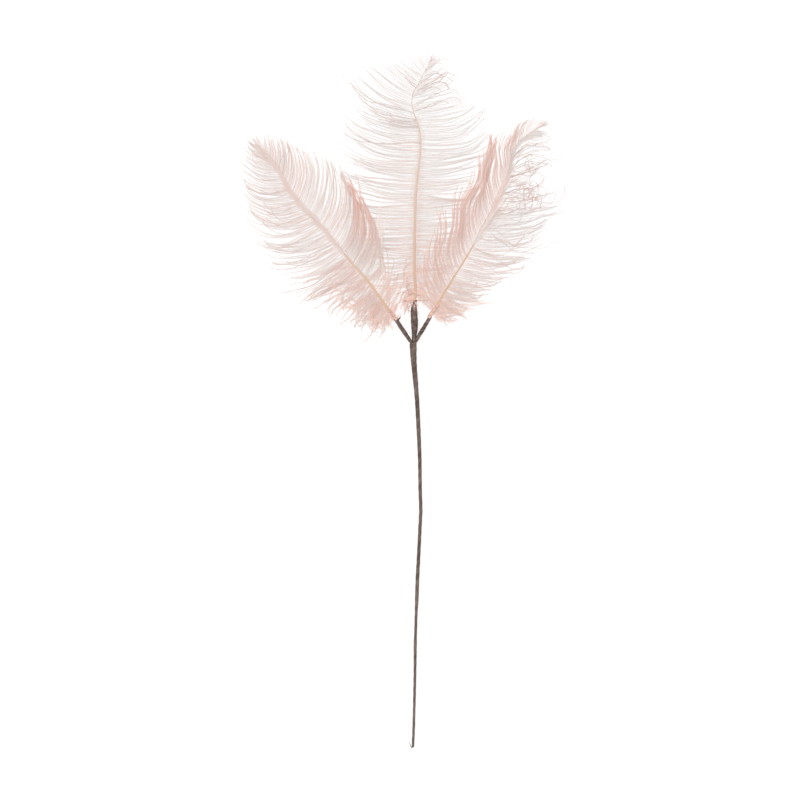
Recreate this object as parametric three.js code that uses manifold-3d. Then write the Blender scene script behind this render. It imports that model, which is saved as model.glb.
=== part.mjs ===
// A decorative spray of three dyed ostrich feathers on a tape-wrapped wire stem, lying on a surface.
// Millimetres, +Z up. The spray lies along +Y with its feathers at the far end.
// Every route below is drawn from the fork, the point where the three branches leave the stem.
// At the end the whole group is moved so that the middle of its footprint is the origin.

import * as THREE from "three";
import { mergeVertices } from "three/addons/utils/BufferGeometryUtils.js";
import Module from "manifold-3d";

const wasm = await Module();
wasm.setup();

// Driving dimensions
const CLEARANCE = 0.3; // between pieces that touch
const TAPE_STEP = 0.2; // how far the edge of a tape turn stands up
const TAPE_EDGE = 0.5; // the length over which a turn's edge steps down
const TAPE_SLANT = 2.2; // how far a turn's edge runs along the rod, from its middle to its side
const STEM_PITCH = 20; // from one tape turn to the next along the stem
const BRANCH_PITCH = 8;
const ROD_SIDES = 8;
const TAIL_WIDTH = 0.9; // the loose end of tape below the stem
const TAIL_THICKNESS = 0.5;
const SHAFT_SIDES = 6;
const SHAFT_RINGS = 18;
const SHAFT_TIP_SHARE = 0.22; // the shaft's width at its tip, as a share of the quill
const LOCKS_PER_SIDE = 20; // locks of barbs on each side of a feather
const LAST_LOCK = 0.985; // place of the last pair of locks along the shaft
const LOCK_SIDES = 4;
const LOCK_THICKNESS = 1.3;
const LOCK_COVER = 0.9; // a lock's width as a share of the room between locks
const LOCK_SLIMNESS = 0.25; // the most that a lock's width may be, as a share of its length
const LOCK_OUTLINE = [0.3, 0.85, 1, 0.75, 0.1]; // widths from root to tip, as shares of the widest
const SWAY_LENGTH = 0.07; // how far locks differ from their neighbours
const SWAY_ARCH = 0.12;
const SWAY_BEARING = 3;

const PINK = { color: 0xe9cdc4, roughness: 0.85, metalness: 0 };
const BROWN = { color: 0x6e5c52, roughness: 0.8, metalness: 0 };

// Stem: x, y and width of the taped wire, from the fork's binding down to the cut end
const STEM = [
  [1.0, -44.9, 4.9],
  [2.1, -59.6, 4.5],
  [3.8, -92.1, 4.2],
  [5.1, -124.6, 3.8],
  [5.6, -157.2, 3.6],
  [6.2, -178.8, 3.5],
  [5.3, -200.5, 3.5],
  [3.7, -233.0, 3.6],
  [2.6, -254.7, 3.8],
  [1.9, -276.4, 3.8],
  [1.3, -290.0, 2.9],
  [0.5, -316.0, 2.8],
  [0.3, -322.0, 3.3],
  [0.0, -352.0, 2.8],
  [-0.9, -395.6, 2.6],
  [-1.9, -428.1, 2.6],
  [-2.4, -436.6, 2.2],
];

// Binding: x, y, width and height of the taped bundle where the branch wires join the stem
const BINDING = [
  [-2.0, 1.0, 7.4, 5.6],
  [-1.9, -6.0, 7.2, 5.6],
  [-1.5, -16.0, 6.2, 5.2],
  [-0.4, -30.0, 5.4, 4.9],
  [1.0, -44.6, 5.1, 4.8],
];

// Branches: x, y, z and width from the fork to the binding of each quill
const CENTRE_BRANCH = [
  [-1.0, 1.3, 3.2, 4.6],
  [-0.9, 8.0, 3.9, 4.8],
  [-0.5, 16.0, 4.6, 6.4],
  [-0.6, 24.0, 5.2, 7.7],
  [-1.0, 31.0, 5.6, 7.4],
  [-1.2, 38.5, 6.0, 5.6],
  [-0.8, 45.5, 6.4, 3.6],
];
const LEFT_BRANCH = [
  [-3.9, 1.4, 3.8, 3.6],
  [-6.6, 5.8, 5.2, 4.2],
  [-11.0, 12.2, 8.2, 4.5],
  [-15.4, 18.6, 11.6, 4.4],
  [-19.4, 25.0, 14.6, 4.3],
  [-22.6, 30.0, 16.6, 3.3],
];
const RIGHT_BRANCH = [
  [1.6, 4.6, 4.6, 3.4],
  [4.0, 9.0, 6.2, 4.2],
  [8.0, 15.4, 9.4, 4.3],
  [11.6, 21.4, 12.8, 4.2],
  [15.2, 27.6, 15.6, 4.0],
  [16.8, 30.6, 16.8, 3.6],
];

// The loose end of tape that folds back from the cut end of the stem: x, y, z
const TAPE_TAIL = [
  [-3.4, -437.6, 0.9],
  [-4.9, -434.6, 1.3],
  [-6.4, -430.9, 2.2],
];

// Feathers. The shaft is x, y, z from quill to tip. Each vane is a table of barb locks along the shaft:
// the place along the shaft from 0 to 1, the lock's length, its bearing at the root, middle and tip
// in degrees from +X, the height of its tip and the height of its arch.
const [LENGTH, ROOT_BEARING, MIDDLE_BEARING, TIP_BEARING, TIP_HEIGHT, ARCH] = [1, 2, 3, 4, 5, 6];
const LEFT_FEATHER = {
  quill: 2.5,
  shaft: [
    [-22.8, 30.3, 16.8],
    [-26.6, 34.6, 18.6],
    [-38.3, 50.9, 24.0],
    [-50.1, 67.2, 28.0],
    [-68.3, 87.8, 32.0],
    [-82.4, 104.6, 34.0],
    [-103.0, 128.3, 35.5],
    [-116.6, 143.1, 35.5],
    [-136.0, 166.9, 33.0],
    [-150.7, 191.8, 29.0],
    [-160.4, 203.8, 26.5],
    [-171.2, 213.9, 24.0],
  ],
  outer: [
    [0.02, 25, 246, 242, 238, 3.0, 0],
    [0.1, 40, 237, 231, 225, 1.6, 1],
    [0.19, 54, 226, 219, 211, 1.2, 3],
    [0.3, 70, 219, 212, 198, 1.0, 4],
    [0.39, 76, 215, 205, 185, 1.0, 5],
    [0.51, 77, 214, 190, 155, 1.0, 6],
    [0.6, 74, 213, 180, 136, 1.2, 6],
    [0.72, 60, 200, 170, 136, 2.0, 6],
    [0.84, 40, 182, 160, 134, 6.0, 4],
    [0.93, 24, 165, 150, 134, 14.0, 2],
    [1.0, 12, 146, 142, 138, 21.0, 0],
  ],
  inner: [
    [0.02, 22, 50, 55, 60, 21.0, 2],
    [0.1, 38, 42, 58, 80, 23.0, 4],
    [0.19, 60, 42, 66, 103, 26.0, 7],
    [0.3, 72, 37, 70, 115, 30.0, 9],
    [0.39, 84, 33, 75, 132, 33.0, 10],
    [0.51, 70, 42, 80, 128, 30.0, 8],
    [0.6, 63, 52, 85, 122, 26.0, 7],
    [0.72, 52, 55, 90, 128, 20.0, 6],
    [0.84, 34, 70, 90, 108, 18.0, 4],
    [0.93, 20, 90, 104, 115, 20.0, 2],
    [1.0, 12, 122, 126, 130, 23.0, 0],
  ],
};
const CENTRE_FEATHER = {
  quill: 2.3,
  shaft: [
    [-0.6, 46.0, 6.6],
    [0.5, 55.3, 8.0],
    [-0.5, 75.0, 10.0],
    [-0.7, 95.4, 11.6],
    [-0.2, 130.7, 13.0],
    [1.2, 166.0, 14.0],
    [3.6, 189.4, 14.6],
    [6.0, 213.0, 15.4],
    [4.6, 231.9, 17.0],
    [-0.7, 248.2, 19.0],
    [-3.5, 260.1, 20.5],
    [-1.8, 271.8, 22.0],
    [4.0, 281.5, 23.0],
    [11.1, 295.3, 24.0],
    [18.0, 306.6, 24.5],
  ],
  outer: [
    [0.03, 20, 200, 205, 215, 3.0, 0],
    [0.1, 34, 190, 182, 170, 2.4, 0],
    [0.2, 52, 186, 183, 178, 2.0, 0],
    [0.31, 66, 184, 179, 170, 1.8, 0],
    [0.43, 74, 182, 171, 152, 1.6, 1],
    [0.52, 82, 176, 162, 140, 1.6, 2],
    [0.6, 84, 184, 162, 130, 1.6, 3],
    [0.67, 80, 178, 160, 134, 2.0, 4],
    [0.73, 72, 171, 157, 138, 3.0, 4],
    [0.78, 63, 165, 152, 136, 5.0, 4],
    [0.82, 50, 157, 144, 128, 8.0, 3],
    [0.86, 40, 150, 138, 122, 11.0, 3],
    [0.92, 28, 138, 128, 118, 16.0, 2],
    [0.965, 17, 118, 112, 106, 20.0, 0],
    [1.0, 8, 75, 75, 75, 23.0, 0],
  ],
  inner: [
    [0.03, 20, -25, -32, -40, 3.0, 0],
    [0.1, 34, -6, 0, 5, 2.4, 0],
    [0.2, 50, -2, 0, 4, 2.0, 0],
    [0.31, 62, -2, 2, 8, 1.8, 0],
    [0.43, 70, -3, 4, 15, 1.6, 1],
    [0.52, 78, -3, 8, 28, 1.6, 2],
    [0.6, 84, -8, 12, 52, 1.6, 3],
    [0.67, 80, -5, 15, 58, 2.0, 4],
    [0.73, 72, 0, 16, 55, 3.0, 4],
    [0.78, 62, 4, 18, 48, 5.0, 4],
    [0.82, 52, 12, 24, 42, 8.0, 3],
    [0.86, 42, 20, 28, 38, 11.0, 3],
    [0.92, 25, 26, 30, 36, 16.0, 2],
    [0.965, 15, 35, 37, 40, 20.0, 0],
    [1.0, 7, 45, 45, 45, 23.0, 0],
  ],
};
const RIGHT_FEATHER = {
  quill: 3.2,
  shaft: [
    [17.2, 31.2, 17.0],
    [21.4, 37.4, 19.0],
    [28.2, 49.9, 22.5],
    [40.1, 69.4, 27.0],
    [55.7, 94.3, 32.0],
    [72.6, 123.6, 36.0],
    [82.4, 138.7, 38.0],
    [94.3, 162.6, 40.5],
    [100.8, 181.0, 42.0],
    [108.4, 211.3, 43.0],
    [121.4, 225.4, 42.0],
    [136.6, 235.2, 39.0],
  ],
  outer: [
    [0.02, 24, -46, -38, -30, 3.0, 0],
    [0.07, 33, -36, -26, -16, 1.8, 1],
    [0.17, 53, -26, -8, 8, 1.2, 3],
    [0.3, 73, -12, 0, 25, 1.0, 4],
    [0.44, 82, -10, 12, 30, 1.0, 6],
    [0.52, 81, -4, 14, 30, 1.2, 6],
    [0.63, 66, 6, 22, 34, 6.0, 6],
    [0.71, 56, 20, 30, 10, 14.0, 6],
    [0.84, 45, 40, 10, -25, 24.0, 5],
    [0.92, 32, 28, 12, -12, 30.0, 2],
    [1.0, 14, 30, 28, 20, 36.0, 0],
  ],
  inner: [
    [0.02, 24, 150, 140, 125, 21.0, 2],
    [0.1, 62, 130, 100, 85, 30.0, 6],
    [0.17, 80, 124, 92, 78, 38.0, 9],
    [0.3, 98, 120, 84, 60, 50.0, 13],
    [0.44, 100, 124, 76, 80, 58.0, 15],
    [0.52, 92, 126, 78, 92, 60.0, 15],
    [0.63, 72, 120, 85, 95, 60.0, 13],
    [0.71, 52, 112, 90, 88, 57.0, 9],
    [0.84, 34, 95, 75, 62, 50.0, 5],
    [0.92, 24, 72, 62, 52, 45.0, 2],
    [1.0, 12, 40, 36, 33, 39.0, 0],
  ],
};

const UP = new THREE.Vector3(0, 0, 1);

function curveThrough(points) {
  const places = points.map(([x, y, z]) => new THREE.Vector3(x, y, z));
  return new THREE.CatmullRomCurve3(places, false, "centripetal");
}

// A cylinder of unit size bent along a curve. rings lists {at, wide, high} from the curve's start to its end.
// slant leans the rings, as the edge of a wound tape does.
function bentCylinder(curve, rings, sides, slant = 0) {
  const last = rings.length - 1;
  const geometry = new THREE.CylinderGeometry(1, 1, 1, sides, last);
  geometry.deleteAttribute("normal");
  geometry.deleteAttribute("uv");
  const length = curve.getLength();
  const places = geometry.getAttribute("position");
  for (let i = 0; i < places.count; i++) {
    const across = places.getX(i);
    const above = places.getZ(i);
    const k = Math.round((places.getY(i) + 0.5) * last);
    const lean = k > 0 && k < last ? (slant * across) / length : 0;
    const at = THREE.MathUtils.clamp(rings[k].at + lean, 0, 1);
    const forward = curve.getTangentAt(at);
    const sideways = new THREE.Vector3().crossVectors(forward, UP).normalize();
    const upwards = new THREE.Vector3().crossVectors(sideways, forward);
    const place = curve
      .getPointAt(at)
      .addScaledVector(sideways, (across * rings[k].wide) / 2)
      .addScaledVector(upwards, (above * rings[k].high) / 2);
    places.setXYZ(i, place.x, place.y, place.z);
  }
  return mergeVertices(geometry, 1e-4);
}

function solidOf(geometry) {
  return new wasm.Manifold(
    new wasm.Mesh({
      numProp: 3,
      vertProperties: new Float32Array(geometry.getAttribute("position").array),
      triVerts: new Uint32Array(geometry.index.array),
    }),
  );
}

function geometryOf(solid) {
  const mesh = solid.getMesh();
  return new THREE.BufferGeometry()
    .setAttribute("position", new THREE.BufferAttribute(mesh.vertProperties, 3))
    .setIndex(new THREE.BufferAttribute(mesh.triVerts, 1));
}

function meshOf(name, geometry, finish) {
  geometry.computeVertexNormals();
  const mesh = new THREE.Mesh(geometry, new THREE.MeshStandardMaterial(finish));
  mesh.name = name;
  return mesh;
}

// A column of a table, read between its rows at the place x. The first column holds the places.
function readTable(table, x, column) {
  const next = table.findIndex((row) => row[0] >= x);
  if (next <= 0) return table[next < 0 ? table.length - 1 : 0][column];
  const [before, after] = [table[next - 1], table[next]];
  const share = (x - before[0]) / (after[0] - before[0]);
  return THREE.MathUtils.lerp(before[column], after[column], share);
}

// Rows of x, y, width and perhaps height become rods that lie on the surface: x, y, z, width, height.
const lyingRod = (rows) =>
  rows.map(([x, y, wide, high = wide]) => [x, y, high / 2 + TAPE_STEP, wide, high]);
const raisedRod = (rows) => rows.map(([x, y, z, wide]) => [x, y, z, wide, wide]);

// A rod wound with tape: each turn starts with a raised edge and runs down to the turn below it.
// room makes the rod larger all round, to cut a clear space for it in its neighbours.
function tapedRod(table, pitch, room = 0) {
  const curve = curveThrough(table);
  const last = table.length - 1;
  const sizes = table.map((row, i) => [i / last, row[3], row[4]]);
  const turns = Math.round(curve.getLength() / pitch);
  const edge = TAPE_EDGE / curve.getLength();
  const rings = [];
  for (let i = 0; i < turns; i++) {
    const end = i === turns - 1 ? 1 : (i + 1) / turns - edge;
    for (const [at, raised] of [
      [i / turns, TAPE_STEP],
      [end, 0],
    ]) {
      const t = curve.getUtoTmapping(at);
      const more = 2 * (raised + room);
      rings.push({ at, wide: readTable(sizes, t, 1) + more, high: readTable(sizes, t, 2) + more });
    }
  }
  return bentCylinder(curve, rings, ROD_SIDES, TAPE_SLANT);
}

// The middle line of one lock of barbs. It leaves the shaft, turns through its three bearings
// and falls or rises to the height of its tip over an arch.
function lockCurve(shaft, vane, at, sway) {
  const row = [0, 1, 2, 3, 4, 5, 6].map((column) => readTable(vane, at, column));
  const length = row[LENGTH] * (1 + SWAY_LENGTH * sway);
  const arch = row[ARCH] * (1 + SWAY_ARCH * sway);
  const steps = 16;
  const root = shaft.getPointAt(at);
  const place = root.clone();
  const points = [root.clone()];
  for (let i = 1; i <= steps; i++) {
    const u = (i - 0.5) / steps;
    const bearing =
      row[ROOT_BEARING] * (1 - u) * (1 - 2 * u) +
      row[MIDDLE_BEARING] * 4 * u * (1 - u) +
      row[TIP_BEARING] * u * (2 * u - 1);
    const angle = THREE.MathUtils.degToRad(bearing + SWAY_BEARING * sway);
    const v = i / steps;
    place.x += (Math.cos(angle) * length) / steps;
    place.y += (Math.sin(angle) * length) / steps;
    place.z = root.z + (row[TIP_HEIGHT] - root.z) * Math.pow(v, 1.35) + arch * 4 * v * (1 - v);
    points.push(place.clone());
  }
  return new THREE.CatmullRomCurve3(points, false, "centripetal");
}

// A lock is a long flat leaf: narrow at the shaft, widest in its middle and pointed.
function lock(curve, widest) {
  const rings = LOCK_OUTLINE.map((share, i) => ({
    at: i / (LOCK_OUTLINE.length - 1),
    wide: widest * share,
    high: LOCK_THICKNESS * Math.max(LOCK_OUTLINE[0], share),
  }));
  return bentCylinder(curve, rings, LOCK_SIDES);
}

function feather(plume) {
  const shaft = curveThrough(plume.shaft);
  const shaftRings = [];
  for (let i = 0; i < SHAFT_RINGS; i++) {
    const at = i / (SHAFT_RINGS - 1);
    const wide = plume.quill * THREE.MathUtils.lerp(1, SHAFT_TIP_SHARE, Math.pow(at, 0.8));
    shaftRings.push({ at, wide, high: wide });
  }
  let solid = solidOf(bentCylinder(shaft, shaftRings, SHAFT_SIDES));
  const spacing = shaft.getLength() / LOCKS_PER_SIDE;
  for (const [side, vane] of [plume.outer, plume.inner].entries()) {
    for (let i = 0; i < LOCKS_PER_SIDE; i++) {
      const at = THREE.MathUtils.lerp(vane[0][0], LAST_LOCK, i / (LOCKS_PER_SIDE - 1));
      const sway = Math.sin(2.4 * i + side);
      const curve = lockCurve(shaft, vane, at, sway);
      const lean = curve.getTangentAt(0.3).angleTo(shaft.getTangentAt(at));
      const room = spacing * LOCK_COVER * Math.sin(lean);
      const widest = Math.min(room, curve.getLength() * LOCK_SLIMNESS);
      solid = solid.add(solidOf(lock(curve, widest)));
    }
  }
  return solid;
}

const spray = new THREE.Group();

// Stem and binding
const binding = lyingRod(BINDING);
spray.add(meshOf("stem", tapedRod(lyingRod(STEM), STEM_PITCH), BROWN));
spray.add(meshOf("fork_binding", tapedRod(binding, BRANCH_PITCH), BROWN));

// Branches: each is cut back by the pieces that it lies against
const bindingRoom = solidOf(tapedRod(binding, BRANCH_PITCH, CLEARANCE));
const centreRoom = solidOf(tapedRod(raisedRod(CENTRE_BRANCH), BRANCH_PITCH, CLEARANCE));
const branches = [
  ["centre_branch", CENTRE_BRANCH, [bindingRoom]],
  ["left_branch", LEFT_BRANCH, [bindingRoom, centreRoom]],
  ["right_branch", RIGHT_BRANCH, [bindingRoom, centreRoom]],
];
for (const [name, rows, rooms] of branches) {
  let branch = solidOf(tapedRod(raisedRod(rows), BRANCH_PITCH));
  for (const room of rooms) {
    branch = branch.subtract(room);
  }
  spray.add(meshOf(name, geometryOf(branch), BROWN));
}

// Loose tape end
const tailRings = [0, 0.5, 1].map((at) => ({ at, wide: TAIL_WIDTH, high: TAIL_THICKNESS }));
spray.add(meshOf("tape_tail", bentCylinder(curveThrough(TAPE_TAIL), tailRings, 4), BROWN));

// Feathers
const plumes = [
  ["left_feather", LEFT_FEATHER],
  ["centre_feather", CENTRE_FEATHER],
  ["right_feather", RIGHT_FEATHER],
];
for (const [name, plume] of plumes) {
  spray.add(meshOf(name, geometryOf(feather(plume)), PINK));
}

// The origin is the middle of the footprint, on the surface that the spray lies on.
const bounds = new THREE.Box3().setFromObject(spray);
const middle = bounds.getCenter(new THREE.Vector3());
spray.position.set(-middle.x, -middle.y, -bounds.min.z);

export default spray;
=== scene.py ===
# %% [markdown]
# # A spray of three ostrich feathers
#
# The object is a florist's feather stem: three dyed ostrich plumes are bound with brown floral tape
# to the short branches of one long wire. It lies on a table and is seen from straight above.
#
# An ostrich feather has no hooks that zip its barbs together. Each barb is a loose thread, and each
# thread carries thousands of soft barbules. The look comes from that, so this lesson builds the
# plumes thread by thread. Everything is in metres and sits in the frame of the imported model.

import math

import bmesh
import bpy
import numpy as np
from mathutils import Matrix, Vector, noise


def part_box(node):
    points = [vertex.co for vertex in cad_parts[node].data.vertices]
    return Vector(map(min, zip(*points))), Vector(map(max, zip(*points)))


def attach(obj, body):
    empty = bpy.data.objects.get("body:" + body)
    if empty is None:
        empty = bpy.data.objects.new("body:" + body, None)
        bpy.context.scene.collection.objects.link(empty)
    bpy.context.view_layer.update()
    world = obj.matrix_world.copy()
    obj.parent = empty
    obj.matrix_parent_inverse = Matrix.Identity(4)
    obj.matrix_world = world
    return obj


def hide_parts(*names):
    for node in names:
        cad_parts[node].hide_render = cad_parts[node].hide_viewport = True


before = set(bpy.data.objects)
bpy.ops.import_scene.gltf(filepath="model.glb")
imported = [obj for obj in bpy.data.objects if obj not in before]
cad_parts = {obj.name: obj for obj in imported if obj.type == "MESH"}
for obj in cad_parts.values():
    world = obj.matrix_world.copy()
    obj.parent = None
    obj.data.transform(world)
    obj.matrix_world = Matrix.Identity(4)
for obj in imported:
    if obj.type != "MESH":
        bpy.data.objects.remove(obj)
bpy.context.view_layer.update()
print("solids:", sorted(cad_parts))

# %% [markdown]
# ## Where things are
#
# The routes of the stem and the feathers are written in millimetres from the fork, the point where
# the branches leave the stem. The fork itself could be typed in, but it would be wrong after any
# change to the solids. So it is worked out from the box of the binding that sits on it.

# %% Find the fork
MM = 0.001
BINDING_REACH_LEFT = 5.9
BINDING_REACH_UP = 1.0
binding_low, binding_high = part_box("fork_binding")
FORK = np.array([binding_low.x + BINDING_REACH_LEFT * MM, binding_high.y - BINDING_REACH_UP * MM, 0.0])
print("fork at, mm:", np.round(FORK / MM, 1))


def in_frame(places):
    """Millimetres from the fork become metres in the frame."""
    return np.asarray(places, float) * MM + FORK


# %% [markdown]
# ## The camera and the light
#
# The spray lies down and the photograph shows it upright, so the camera looks straight down on it.
# A short lens would make the raised side feathers larger than they are. A long lens, far away,
# keeps the picture close to a plan, as a product photograph is.
#
# The picture is bright and has no hard shadow. A pale floor that gives off some light of its own
# works like the light table of a photographer: it fills the shadows between the barbs, and what is
# thin and pale stays airy. One large soft lamp from the upper left still gives the forms a side.

# %% Camera
PIXELS_ACROSS = 800
MM_PER_PIXEL = 1.0838
FORK_PIXEL = (415.0, 344.4)
SENSOR = 36.0
LENS = 200.0
CLIP_AT_HEIGHTS = 4


def add_object(name, data):
    """Puts a new object with this data into the scene."""
    item = bpy.data.objects.new(name, data)
    bpy.context.scene.collection.objects.link(item)
    return item


camera_data = bpy.data.cameras.new("camera")
camera_data.sensor_width = SENSOR
camera_data.lens = LENS
camera = add_object("camera", camera_data)
bpy.context.scene.camera = camera
half_picture = PIXELS_ACROSS / 2
camera_height = half_picture * MM_PER_PIXEL * MM * 2 * LENS / SENSOR
camera.location = (
    FORK[0] + (half_picture - FORK_PIXEL[0]) * MM_PER_PIXEL * MM,
    FORK[1] + (FORK_PIXEL[1] - half_picture) * MM_PER_PIXEL * MM,
    camera_height,
)
camera_data.clip_end = CLIP_AT_HEIGHTS * camera_height
print("camera height, m:", round(camera_height, 3))

# %% Floor and light
WHITE = (1, 1, 1, 1)
FLOOR_HALF = 6.0
FLOOR_GREY = (0.3, 0.3, 0.3, 1)
FLOOR_ROUGHNESS = 0.9
FLOOR_GLOW = 0.76
LAMP_SIDE = 1.2
LAMP_WATTS = 20
LAMP_PLACE = (-1.0, 1.0, 1.9)
LAMP_AIM = (0, 0.1, 0)


def new_material(name, settings):
    """A material with one Principled shader, which gets the settings, and the tools to wire it."""
    material = bpy.data.materials.new(name)
    material.use_nodes = True
    nodes = material.node_tree.nodes
    shader = nodes["Principled BSDF"]
    for label, value in settings.items():
        shader.inputs[label].default_value = value
    return material, nodes, material.node_tree.links, shader


floor_bm = bmesh.new()
bmesh.ops.create_grid(floor_bm, x_segments=1, y_segments=1, size=FLOOR_HALF)
floor_mesh = bpy.data.meshes.new("floor")
floor_bm.to_mesh(floor_mesh)
floor_bm.free()
floor = add_object("floor", floor_mesh)
floor_look = {
    "Base Color": FLOOR_GREY,
    "Roughness": FLOOR_ROUGHNESS,
    "Specular IOR Level": 0.0,
    "Emission Color": WHITE,
    "Emission Strength": FLOOR_GLOW,
}
floor_mesh.materials.append(new_material("pale floor", floor_look)[0])

world = bpy.data.worlds.new("studio")
world.use_nodes = True
background = world.node_tree.nodes["Background"]
background.inputs["Color"].default_value = WHITE
background.inputs["Strength"].default_value = 1.0
bpy.context.scene.world = world

lamp_data = bpy.data.lights.new("soft lamp", "AREA")
lamp_data.shape = "SQUARE"
lamp_data.size = LAMP_SIDE
lamp_data.energy = LAMP_WATTS
lamp = add_object("soft lamp", lamp_data)
lamp.location = LAMP_PLACE
lamp.rotation_euler = (Vector(LAMP_AIM) - lamp.location).to_track_quat("-Z", "Y").to_euler()

bpy.context.scene.view_settings.view_transform = "Standard"
print("floor glow", FLOOR_GLOW, "lamp", lamp_data.energy, "W")

# %% [markdown]
# ## Smooth routes
#
# A wire, a quill and a barb all follow a smooth line through a few measured places. A Bezier curve
# object could hold each one, but the barbs are far too many for that. So one function turns a short
# list of places into evenly spaced points. It is a Catmull-Rom curve, which passes through every
# place it is given, and its knots are spaced by the root of the distance so that it never loops.

# %% Curve through places
PIECES_PER_SPAN = 24
ROUTE_POINTS = 400


def smooth_route(places, count=ROUTE_POINTS):
    """count evenly spaced points on a smooth curve through the places."""
    p = np.asarray(places, float)
    p = np.vstack([2 * p[0] - p[1], p, 2 * p[-1] - p[-2]])
    gaps = np.linalg.norm(np.diff(p, axis=0), axis=1)
    knots = np.concatenate([[0], np.cumsum(np.sqrt(gaps))])
    fine = []
    for i in range(1, len(p) - 2):
        k0, k1, k2, k3 = knots[i - 1 : i + 3]
        k = np.linspace(k1, k2, PIECES_PER_SPAN, endpoint=False)[:, None]
        a = ((k1 - k) * p[i - 1] + (k - k0) * p[i]) / (k1 - k0)
        b = ((k2 - k) * p[i] + (k - k1) * p[i + 1]) / (k2 - k1)
        c = ((k3 - k) * p[i + 1] + (k - k2) * p[i + 2]) / (k3 - k2)
        ab = ((k2 - k) * a + (k - k0) * b) / (k2 - k0)
        bc = ((k3 - k) * b + (k - k1) * c) / (k3 - k1)
        fine.append(((k2 - k) * ab + (k - k1) * bc) / (k2 - k1))
    fine = np.vstack(fine + [p[-2:-1]])
    run = np.concatenate([[0], np.cumsum(np.linalg.norm(np.diff(fine, axis=0), axis=1))])
    wanted = np.linspace(0, run[-1], count)
    return np.column_stack([np.interp(wanted, run, fine[:, axis]) for axis in range(3)])


def on_route(route, shares):
    """The places at these shares of the route. shares may be an array of any shape."""
    run = np.linspace(0, 1, len(route))
    return np.stack([np.interp(shares, run, route[:, axis]) for axis in range(3)], axis=-1)


def route_length(route):
    return float(np.linalg.norm(np.diff(route, axis=0), axis=1).sum())


bow = [(1, 0, 0), (math.sqrt(0.5), math.sqrt(0.5), 0), (0, 1, 0)]
print(f"a bow of radius 1 is {route_length(smooth_route(bow)):.3f} long, a true one {math.pi / 2:.3f}")

# %% [markdown]
# ## Rods that follow a route
#
# The taped wire, the branches and the quills are all rods. A curve object with a bevel would do,
# but tape laps change the surface turn by turn. So a plain cylinder from `create_cone` is cut along
# its length with `subdivide_edges` and then bent: each vertex is carried to its place on the route,
# and a small function says how far out it stands there.

# %% Bend a cylinder along a route


def straight_rod(sides, cuts):
    """A closed cylinder of radius 1 from z = 0 to z = 1, cut into even rings."""
    bm = bmesh.new()
    bmesh.ops.create_cone(
        bm, cap_ends=True, cap_tris=False, segments=sides, radius1=1, radius2=1, depth=1
    )
    bmesh.ops.translate(bm, vec=(0, 0, 0.5), verts=bm.verts)
    long_edges = [e for e in bm.edges if abs(e.verts[0].co.z - e.verts[1].co.z) > 0.5]
    bmesh.ops.subdivide_edges(bm, edges=long_edges, cuts=cuts, use_grid_fill=True)
    return bm


def bent_rod(name, route, sides, cuts, radius_at, tags=()):
    """Bends a rod along a route in metres. radius_at(share, angle) gives (sideways, upwards) radii.

    tags are pairs of a name and a function of (share, angle): they become vertex attributes."""
    bm = straight_rod(sides, cuts)
    shares = [vertex.co.z for vertex in bm.verts]
    centres = on_route(route, shares)
    tangents = on_route(np.gradient(route, axis=0), shares)
    places = []
    for vertex, share, centre, tangent in zip(bm.verts, shares, centres, tangents):
        angle = math.atan2(vertex.co.y, vertex.co.x)
        forward = Vector(tangent).normalized()
        sideways = forward.cross(Vector((0, 0, 1))).normalized()
        upwards = sideways.cross(forward)
        wide, high = radius_at(share, angle)
        aside = sideways * (wide * math.cos(angle))
        above = upwards * (high * math.sin(angle))
        vertex.co = Vector(centre) + aside + above
        places.append((share, angle))
    bmesh.ops.recalc_face_normals(bm, faces=bm.faces)
    for face in bm.faces:
        face.smooth = len(face.verts) == 4
    mesh = bpy.data.meshes.new(name)
    bm.to_mesh(mesh)
    bm.free()
    for tag, value in tags:
        attribute = mesh.attributes.new(tag, "FLOAT", "POINT")
        attribute.data.foreach_set("value", np.array([value(*place) for place in places], np.float32))
    return add_object(name, mesh)


def finish_piece(piece, material, slot, *nodes):
    """Gives a finished piece its material, hangs it under the root's body and hides the solids it
    replaces. slot is not used.
    """
    piece.data.materials.append(material)
    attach(piece, "root")
    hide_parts(*nodes)
    piece.data.calc_loop_triangles()
    print(f"{piece.name}: {len(piece.data.loop_triangles)} triangles")


sample = straight_rod(sides=16, cuts=10)
print("a rod of 16 sides with 10 cuts has", len(sample.faces), "faces")
sample.free()

# %% [markdown]
# ## The material of floral tape
#
# Floral tape is crepe paper soaked in wax. Stretched round a wire it shows slanting laps, fine
# wrinkles along its length, and a dull shine where the wax was rubbed. That shine is painted: the
# edge of every lap gets a lighter colour, a painted sheen. The creases of the wrinkles get painted
# shade in a dark colour, which also makes the tape's dark patches. A picture of tape would need
# a flat layout of the surface. Instead the effect is a node group. It reads Object coordinates and
# how far each vertex is through its turn of tape, and gives a colour, a height and a roughness.
# Each kind of tape sets its own three colours in it: its brown, the dark colour of its patches and
# its painted crease shade, and the lighter colour of its painted sheen.

# %% A node group for wound tape


def new_group(name, inputs, outputs):
    """An empty shader node group. inputs and outputs are pairs of a name and a socket type."""
    group = bpy.data.node_groups.new(name, "ShaderNodeTree")
    for label, kind in inputs:
        group.interface.new_socket(label, in_out="INPUT", socket_type=kind)
    for label, kind in outputs:
        group.interface.new_socket(label, in_out="OUTPUT", socket_type=kind)
    return group, group.nodes.new("NodeGroupInput"), group.nodes.new("NodeGroupOutput")
    return group, group.nodes.new("NodeGroupInput"), group.nodes.new("NodeGroupOutput")


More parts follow.
